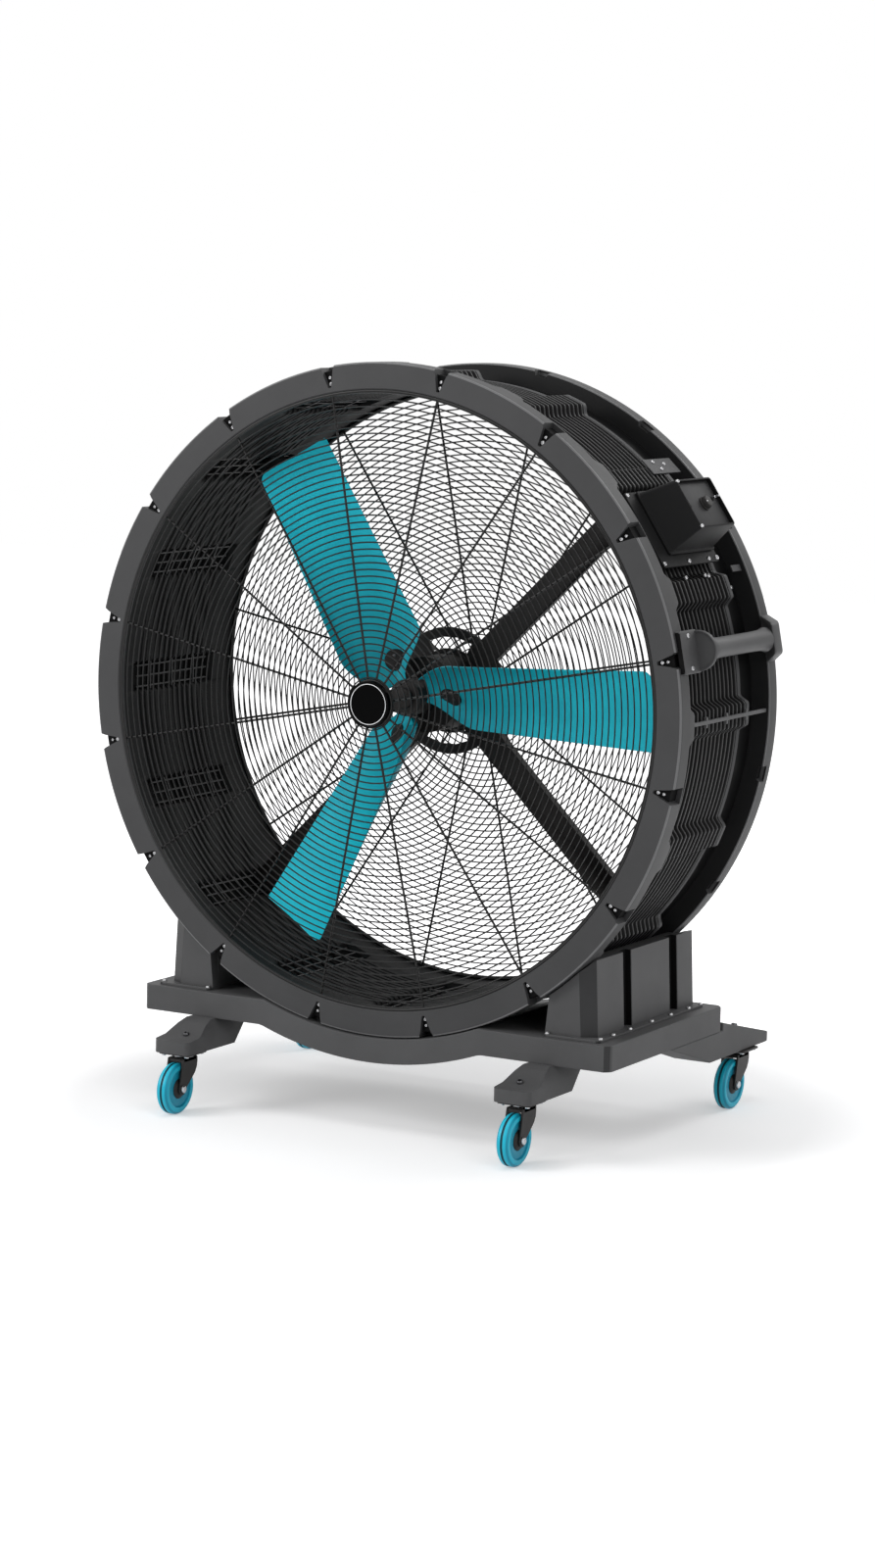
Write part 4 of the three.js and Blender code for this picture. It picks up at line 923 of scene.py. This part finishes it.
# the pad's front faces are painted black: a painted shadow in the gap at the ring
paint(pad, "paintedShade", lambda spot, out: out.y < -0.9 and spot[1] < 14)
tube = [(96.3, 24.6, 26), (99, 25, 27), (108, 25, 26), (124, 24.6, 24.6), (150, h["grip"], h["grip"]),
        (310, h["grip"], h["grip"]), (370, 24, 24.6), (388, 24.8, 27), (396, 25, 29)]
around = np.linspace(0, 2 * math.pi, 48, endpoint=False)
tubeRows = [[(h["centre"] + a * math.cos(t), y, b * math.sin(t)) for t in around] for y, a, b in tube]
makePiece("handle_tube", [atHandle(loft(tubeRows))], "shell", sharp=40, stands=("handle_grip",))
legRows = []
for t, inset in ((0, 0), (0.15, 0), (0.6, 0), (0.86, 0.0), (0.93, 1.5), (0.98, 4.5), (1, 9)):
    x = h["rearSeat"] + (h["outer"] - h["rearSeat"]) * t
    low, half = 483 - 92 * t, 56 - 19 * t
    outline = roundRect((low + inset, low + 50 - inset), (-half + inset, half - inset), 7)
    legRows.append([(x, y, z) for y, z in outline])
makePiece("handle_leg", [atHandle(loft(legRows))], "shell", sharp=32, stands=("handle_rear_bracket",))
heads = [atHandle(screwHead((810.6, 49, z), (1, 0, 0), 5.5, 4)) for z in h["screws"]]
makePiece("handle_screws", heads, "screw", sharp=30)
print("handle ready")

# control box: flange, sloped body, sunk panel
box = {
    "angle": 33.75, "plate": 778, "top": 867.9, "panel": 857.9, "switch": (340, 32),
    "window": (205, 212, 12, 36),
    # from depth to depth and from side to side: the flange, the body at the plate and at the top
    "flange": (98, 388, -92, 106), "foot": (150, 378, -60, 100), "head": (185, 366, -44, 84),
    # height, inset and corner radius up the body
    "body": [(777, -2, 8), (783, -5, 8), (784.5, -4.6, 8), (786, -1, 8), (790, 0, 8), (865.5, 0, 8),
             (867.2, 0.7, 7.5), (867.9, 2.2, 6), (867.9, 4, 4.5), (867, 5, 4), (855, 5, 4)],
    # place and radius of each screw
    "screws": [((867.4, 190.5, 79), 4.5), ((867.4, 190.5, -39), 4.5), ((777.6, 106, -83), 5.5),
               ((777.6, 232, -83), 5.5), ((777.6, 336, -83), 5.5), ((777.6, 379, -83), 6.5),
               ((777.6, 106, 98), 5.5), ((777.6, 379, 98), 5.5)],
}


def boxRing(height, inset, radius):
    t = (height - box["plate"]) / (box["top"] - box["plate"])
    a, b, c, d = (f + (g - f) * t for f, g in zip(box["foot"], box["head"]))
    return [(height, y, z) for y, z in roundRect((a + inset, b - inset), (c + inset, d - inset), radius)]


def atBox(part):
    return moved(part, degrees=box["angle"])


flange = plateAt(box["flange"], ((758, 14), (771.6, 14), (771.8, 0), (776.6, 0), (777.8, 1.2)), 8)
body = [boxRing(*station) for station in box["body"]]
makePiece("control_box_shell", [atBox(flange), atBox(loft(body))], "box", sharp=32,
          stands=("control_box",))
panel = [boxRing(854.2, 5.4, 3), boxRing(857.2, 5.4, 3), boxRing(box["panel"], 6.2, 3)]
bush = turned([(3, 0), (5.5, 0), (5.5, 3.4), (4.9, 4), (3, 4)], 24, (box["panel"], *box["switch"]), alongX)
makePiece("control_panel_sheet", [atBox(loft(panel)), atBox(bush)], "panel", sharp=35,
          stands=("control_panel",))
window = plateAt(box["window"], ((857.6, 0), (858.6, 0), (858.9, 0.6)), 2)
makePiece("panel_window", [atBox(window)], "badge", sharp=30)
heads = [atBox(screwHead(at, (1, 0, 0), r, 3.6)) for at, r in box["screws"]]
makePiece("control_box_screws", heads, "screw", sharp=30)

# knob: skirt, eighteen flutes and a pointer line
knob = {
    "at": (284, 20), "sides": 72, "flutes": 18, "cut": 0.7,
    # height, radius and share of the flutes' cut
    "profile": [(858.2, 17.5, 0), (860.6, 17.5, 0), (861.4, 16.6, 0), (862, 15.6, 1), (871.6, 14.4, 1),
                (872.9, 13.4, 0.5), (873.2, 12, 0)],
}
sides, (y, z) = range(knob["sides"]), knob["at"]
knobRows = []
for k in sides:
    t = 2 * math.pi * k / knob["sides"]
    flute = knob["cut"] * max(0, math.cos(knob["flutes"] * t))
    knobRows.append([(x, y + (r - f * flute) * math.cos(t), z + (r - f * flute) * math.sin(t))
                     for x, r, f in knob["profile"]])
points, faces = grid(knobRows, True, False)
m = len(knob["profile"])
faces += [tuple(m * k for k in sides), tuple(m * k + m - 1 for k in reversed(sides))]
makePiece("speed_knob_grip", [atBox((points, faces))], "hub", "knob", sharp=40, stands=("speed_knob",))
makePiece("speed_knob_line", [atBox(block((873, 873.5), (270.6, 280), (19.3, 20.7)))], "screw", "knob")
dress("power_switch", "steel", 0.2)
dress("cable_gland", "hub", 0.8)
print("control box ready")

# tray: the beam dips under the drum, its corners are cut, ribs divide its underside
tray = {
    "half": 647, "front": -8, "rear": 600, "top": 282, "bottom": 220, "wall": 8, "corner": 14, "edge": 3,
    # radius and dip of its top and of its underside; cells across and deep
    "trough": (802.5, 56.5), "belly": (863, 55), "reach": 308, "across": 8, "deep": 4,
}


def wave(x, flat, radius, dip):
    meet = math.sqrt(radius ** 2 - (radius - dip) ** 2)
    return flat if abs(x) >= meet else flat - dip + radius - math.sqrt(radius ** 2 - x * x)


def trayRing(x, inset, hollow):
    t = tray
    cut = max(0, abs(x) - t["half"] + t["corner"]) + inset
    y0, y1 = t["front"] + cut, t["rear"] - cut
    top, low = wave(x, t["top"], *t["trough"]) - inset, wave(x, t["bottom"], *t["belly"])
    roof = wave(x, t["top"] - t["wall"], t["trough"][0] + t["wall"], t["trough"][1]) if hollow else low
    e, w, cut = t["edge"], t["wall"], 0.3 * t["edge"]
    outline = [(y0, low), (y0, top - e), (y0 + cut, top - cut), (y0 + e, top), (y1 - e, top),
               (y1 - cut, top - cut), (y1, top - e), (y1, low),
               (y1 - w, low), (y1 - w, roof), (y0 + w, roof), (y0 + w, low)]
    return [(x, *p) for p in outline]


def trayParts():
    t = tray
    half = t["half"]
    inner = half - t["wall"]
    # place, inset and whether it is hollow there, from the middle to the right end
    right = [(x, 0, 1) for x in [*np.linspace(0, t["reach"], 29), half - t["corner"], inner]]
    right += [(inner, 0, 0), (half - 3, 0, 0), (half - 0.9, 0.9, 0), (half, 3, 0)]
    stations = [(-x, inset, hollow) for x, inset, hollow in reversed(right)] + right[1:]
    parts = [loft([trayRing(*station) for station in stations])]
    for i in range(1, t["across"]):
        x = -half + i * (2 * half - t["wall"]) / t["across"] + t["wall"] / 2
        low, roof = wave(x, t["bottom"], *t["belly"]), wave(x, t["top"], *t["trough"]) - t["wall"] / 2
        parts.append(block((x - 4, x + 4), (-1, 593), (low + 1, roof)))
    edge = [(x, wave(x, t["bottom"], *t["belly"]) + 1) for x in np.linspace(-inner, inner, 61)]
    edge += [(x, wave(x, t["top"], *t["trough"]) - 4) for x in np.linspace(inner, -inner, 61)]
    for j in range(1, t["deep"]):
        y = t["front"] + j * (t["rear"] - t["front"]) / t["deep"]
        parts.append(prism(edge, y - 4, y + 4))
    return parts


trayBody = makePiece("base_tray_body", trayParts(), "shell", onFloor=True, sharp=32, stands=("base_tray",))
# the cut corners are painted darker than the shell: painted shade
evenOut(paint(trayBody, "paintedCornerShade", lambda spot, out: 0.6 < abs(out.y) < 0.8 and abs(out.x) > 0.6))

# pedestals: a corner cut at the front, two grooves down the side, a flange on the tray
pedestal = {
    "inner": 462, "outer": 590, "start": 22, "end": 548, "foot": 288.3, "top": 469, "lean": 9,
    "corner": (33, 21), "grooves": (200.8, 442.8), "groove": (37, 18), "flange": (462, 612, 8, 562),
    # its top fits the rings up to these depths, and slopes under the barrel between them
    "ringBand": 51, "rearBand": 488, "rests": (803, 795), "seat": 1095.9,
    # screws of the flange, right of the middle
    "screws": [(606, y) for y in (26, 90, 176, 289, 390, 487, 552)] + [(472, 15), (472, 555)],
}


def topRests(y):
    # radii that the top follows at a depth, 0 for the slope; both where one gives way to the other
    front, rear = pedestal["rests"]
    if y == pedestal["ringBand"]:
        return [front, 0]
    if y == pedestal["rearBand"]:
        return [0, rear]
    return [front if y < pedestal["ringBand"] else rear if y > pedestal["rearBand"] else 0]


def pedestalTop(x, radius):
    drop = math.sqrt(radius ** 2 - x * x) if radius else pedestal["seat"] - x
    return min(pedestal["top"], drum["axis"] - drop)


def pedestalParts():
    p = pedestal
    cutIn, cutBack = p["corner"]
    stations = [(p["start"], cutIn + 1), (p["start"] + 0.4, cutIn), (p["start"] + cutBack, 0.5),
                (p["start"] + cutBack + 1, 0), (p["ringBand"], 0)]
    for y in p["grooves"]:
        low, high, deep = y - p["groove"][0] / 2, y + p["groove"][0] / 2, p["groove"][1]
        stations += [(low - 8, 0), (low - 4, 0.8), (low - 1, 3), (low, 6), (low + 0.5, deep - 2),
                     (low + 3, deep), (high - 3, deep), (high - 0.4, deep - 2), (high, 1.5), (high + 1.5, 0)]
    stations += [(p["rearBand"], 0), (p["end"] - 4, 0), (p["end"] - 1.2, 1.2), (p["end"], 4)]
    rings = []
    for y, inset in stations:
        for radius in topRests(y):
            xs = np.linspace(p["outer"] - inset - p["lean"], p["inner"] + p["lean"], 7)
            rings.append([(p["inner"], y, p["foot"]), (p["outer"] - inset, y, p["foot"])]
                         + [(x, y, pedestalTop(x, radius)) for x in xs])
    return [loft(rings), plateAt(p["flange"], ((282.4, 0), (287, 0), (288, 0.6), (288.3, 2)), 10, axis=2)]


def mirrored(parts):
    return [(np.asarray(p, float).reshape(-1, 3) * (-1, 1, 1), f) for p, f in parts]


for side, parts in (("right", pedestalParts()), ("left", mirrored(pedestalParts()))):
    body = makePiece(f"pedestal_{side}_body", parts, "shell", onFloor=True, sharp=32,
                     stands=(f"pedestal_{side}",))
    sign = 1 if side == "right" else -1

    def inGrooveShade(spot, out):
        p = pedestal
        nearGroove = any(abs(spot[1] - y) < p["groove"][0] / 2 + 0.2 for y in p["grooves"])
        return nearGroove and spot[0] * sign < p["outer"] - 4.5 - (spot[2] + 740) / 26 and abs(out.z) < 0.5 \
            and spot[0] * sign > p["inner"] + 60 and spot[2] > -739

    # the front corner is painted darker and the grooves black: painted shade
    paint(body, "paintedCornerShade", lambda spot, out: out.y < -0.2 and abs(out.x) > 0.2 and spot[1] < 45)
    evenOut(paint(body, "paintedShade", inGrooveShade))

heads = [screwHead((sign * x, y, pedestal["foot"]), (0, 0, 1), 5.5, 4)
         for x, y in pedestal["screws"] for sign in (1, -1)]
makePiece("tray_screws", heads, "screw", onFloor=True, sharp=30)
print("tray ready")

# feet: the front ones have a pad with cut corners and a ramp that narrows upwards
foot = {
    "middle": 469, "shoulder": 184,
    "stations": [
        # depth, underside, top, half widths below and above
        (-150, 150, 182, 38, 38), (-147, 150, 182.2, 44, 44), (-141, 150, 182.8, 49, 49),
        (-138, 150, 183, 50, 50), (-98, 150, 187, 50, 50), (-58, 150, 209, 50, 40), (-30, 150, 219.4, 50, 34),
        (-8, 150, 219.7, 50, 32), (58, 150, 219.7, 50, 50), (120, 219.2, 219.7, 50, 50),
    ],
}
for side, sign in (("right", 1), ("left", -1)):
    rings = []
    for y, low, top, base, upper in foot["stations"]:
        shoulder = max(low + 0.2, min(top - 0.4, foot["shoulder"]))
        outline = [(-base, low), (-base, shoulder), (-upper, top), (upper, top), (base, shoulder),
                   (base, low)]
        rings.append([(sign * foot["middle"] + x, y, z) for x, z in outline])
    soften(makePiece(f"foot_front_{side}_body", [loft(rings)], "shell", onFloor=True,
                     stands=(f"foot_front_{side}",)), 2)
    dress(f"foot_rear_{side}", "shell", 3, 3, 30)
padBolts = [screwHead((sign * 462, -93, 189.5), (0, -0.4, 1), 8, 7) for sign in (1, -1)]
padBolts += [screwHead((sign * 597, 770, 199), (0, 0.24, 1), 8, 6) for sign in (1, -1)]
makePiece("foot_bolts", padBolts, "darkScrew", onFloor=True, sharp=30)
print("feet ready")

# casters: plate and race on the foot, fork, axle, two-tone wheel
wheel = {"radius": 62.5, "half": 16, "trail": -32, "plate": 149.7, "fork": 136.4, "leg": (19, 23), "boss": 15}
casters = {
    "front_right": (469, -96), "front_left": (-469, -96), "rear_right": (612, 752), "rear_left": (-612, 752),
}


def forkOutline(y):
    w = wheel
    axle, r = y + w["trail"], w["boss"]
    edge = [(y + 31, w["fork"] - 3), (y + 28, w["fork"]), (y - 31, w["fork"])]
    edge += [(axle + r * math.cos(t), w["radius"] + r * math.sin(t))
             for t in np.linspace(math.pi, 2 * math.pi, 13)]
    edge += [(y + 8, 84), (y + 22, 97), (y + 29, 110), (y + 31, 122)]
    return edge


def mirroredProfile(half):
    # a profile given up to its middle, with the other half behind it
    return half + [(r, -y) for r, y in reversed(half)]


h = wheel["half"]
tyre = mirroredProfile([(44, -11), (46, -h + 1), (50, -h), (55, -h + 0.3), (57, -h + 1), (58, -h + 2.6),
                        (61.4, -h + 5), (wheel["radius"], -h + 8), (wheel["radius"], -3), (60.8, -2)])
rim = mirroredProfile([(23, -11), (34, -12.5), (41, -12.5), (45, -11)])
core = mirroredProfile([(5.7, -17.8), (16, -17.8), (19, -16), (24.5, -12)])
pin = mirroredProfile([(0.01, -29), (6.6, -29), (8.6, -27.6), (9, -26), (9, -23.4), (5, -23.2)])
raceProfile = [(0.01, 136.8), (24, 136.8), (27, 138), (28, 141), (28, 145), (0.01, 145)]
nutProfile = [(0.01, -4), (5.4, -4), (6, -3.2), (6, 0.5), (0.01, 0.5)]
for name, (x, y) in casters.items():
    axle = (x, y + wheel["trail"], wheel["radius"])
    body = f"wheel_{name}"
    rolling = makePiece(f"caster_{name}_tyre", [turned(tyre, 72, axle, alongX)], "tyre", body, True, 40,
                        (f"caster_{name}_wheel",))
    paint(rolling, "groove", lambda spot, out, x=x: abs(spot[0] - x) < 3.2)
    paint(rolling, "rim", lambda spot, out, x=x: 12 < abs(spot[0] - x) < 14.5)
    makePiece(f"caster_{name}_rim", [turned(rim, 48, axle, alongX)], "rim", body, True, 40)
    makePiece(f"caster_{name}_core", [turned(core, 48, axle, alongX)], "caster", body, True, 40)
    swivel = f"swivel_{name}"
    low, high = wheel["leg"]
    crown = plateAt((x - high, x + high, y - 31, y + 29),
                    [(wheel["fork"] - z, 0) for z in (9, 1, 0)], 4, axis=2)
    legs = [prism(forkOutline(y), x + sign * low, x + sign * high, "x") for sign in (1, -1)]
    soften(makePiece(f"caster_{name}_yoke", legs + [crown], "caster", swivel, True, 30,
                     (f"caster_{name}_fork",)), 1)
    makePiece(f"caster_{name}_pin", [turned(pin, 24, axle, alongX, False)], "steel", swivel, True, 35,
              (f"caster_{name}_axle",))
    top = wheel["plate"]
    plate = plateAt((x - 43, x + 43, y - 43, y + 43), ((top - 5, 0), (top, 0)), 6, axis=2)
    race = turned(raceProfile, 40, (x, y, 0), upright, False)
    nuts = [turned(nutProfile, 6, (x + p, y + q, top - 5), upright, False)
            for p in (-33, 33) for q in (-33, 33)]
    soften(makePiece(f"caster_{name}_top", [plate], "caster", mainBody, True,
                     stands=(f"caster_{name}_plate",)), 1)
    makePiece(f"caster_{name}_race", [race] + nuts, "steel", mainBody, True, 40)
print("casters ready")
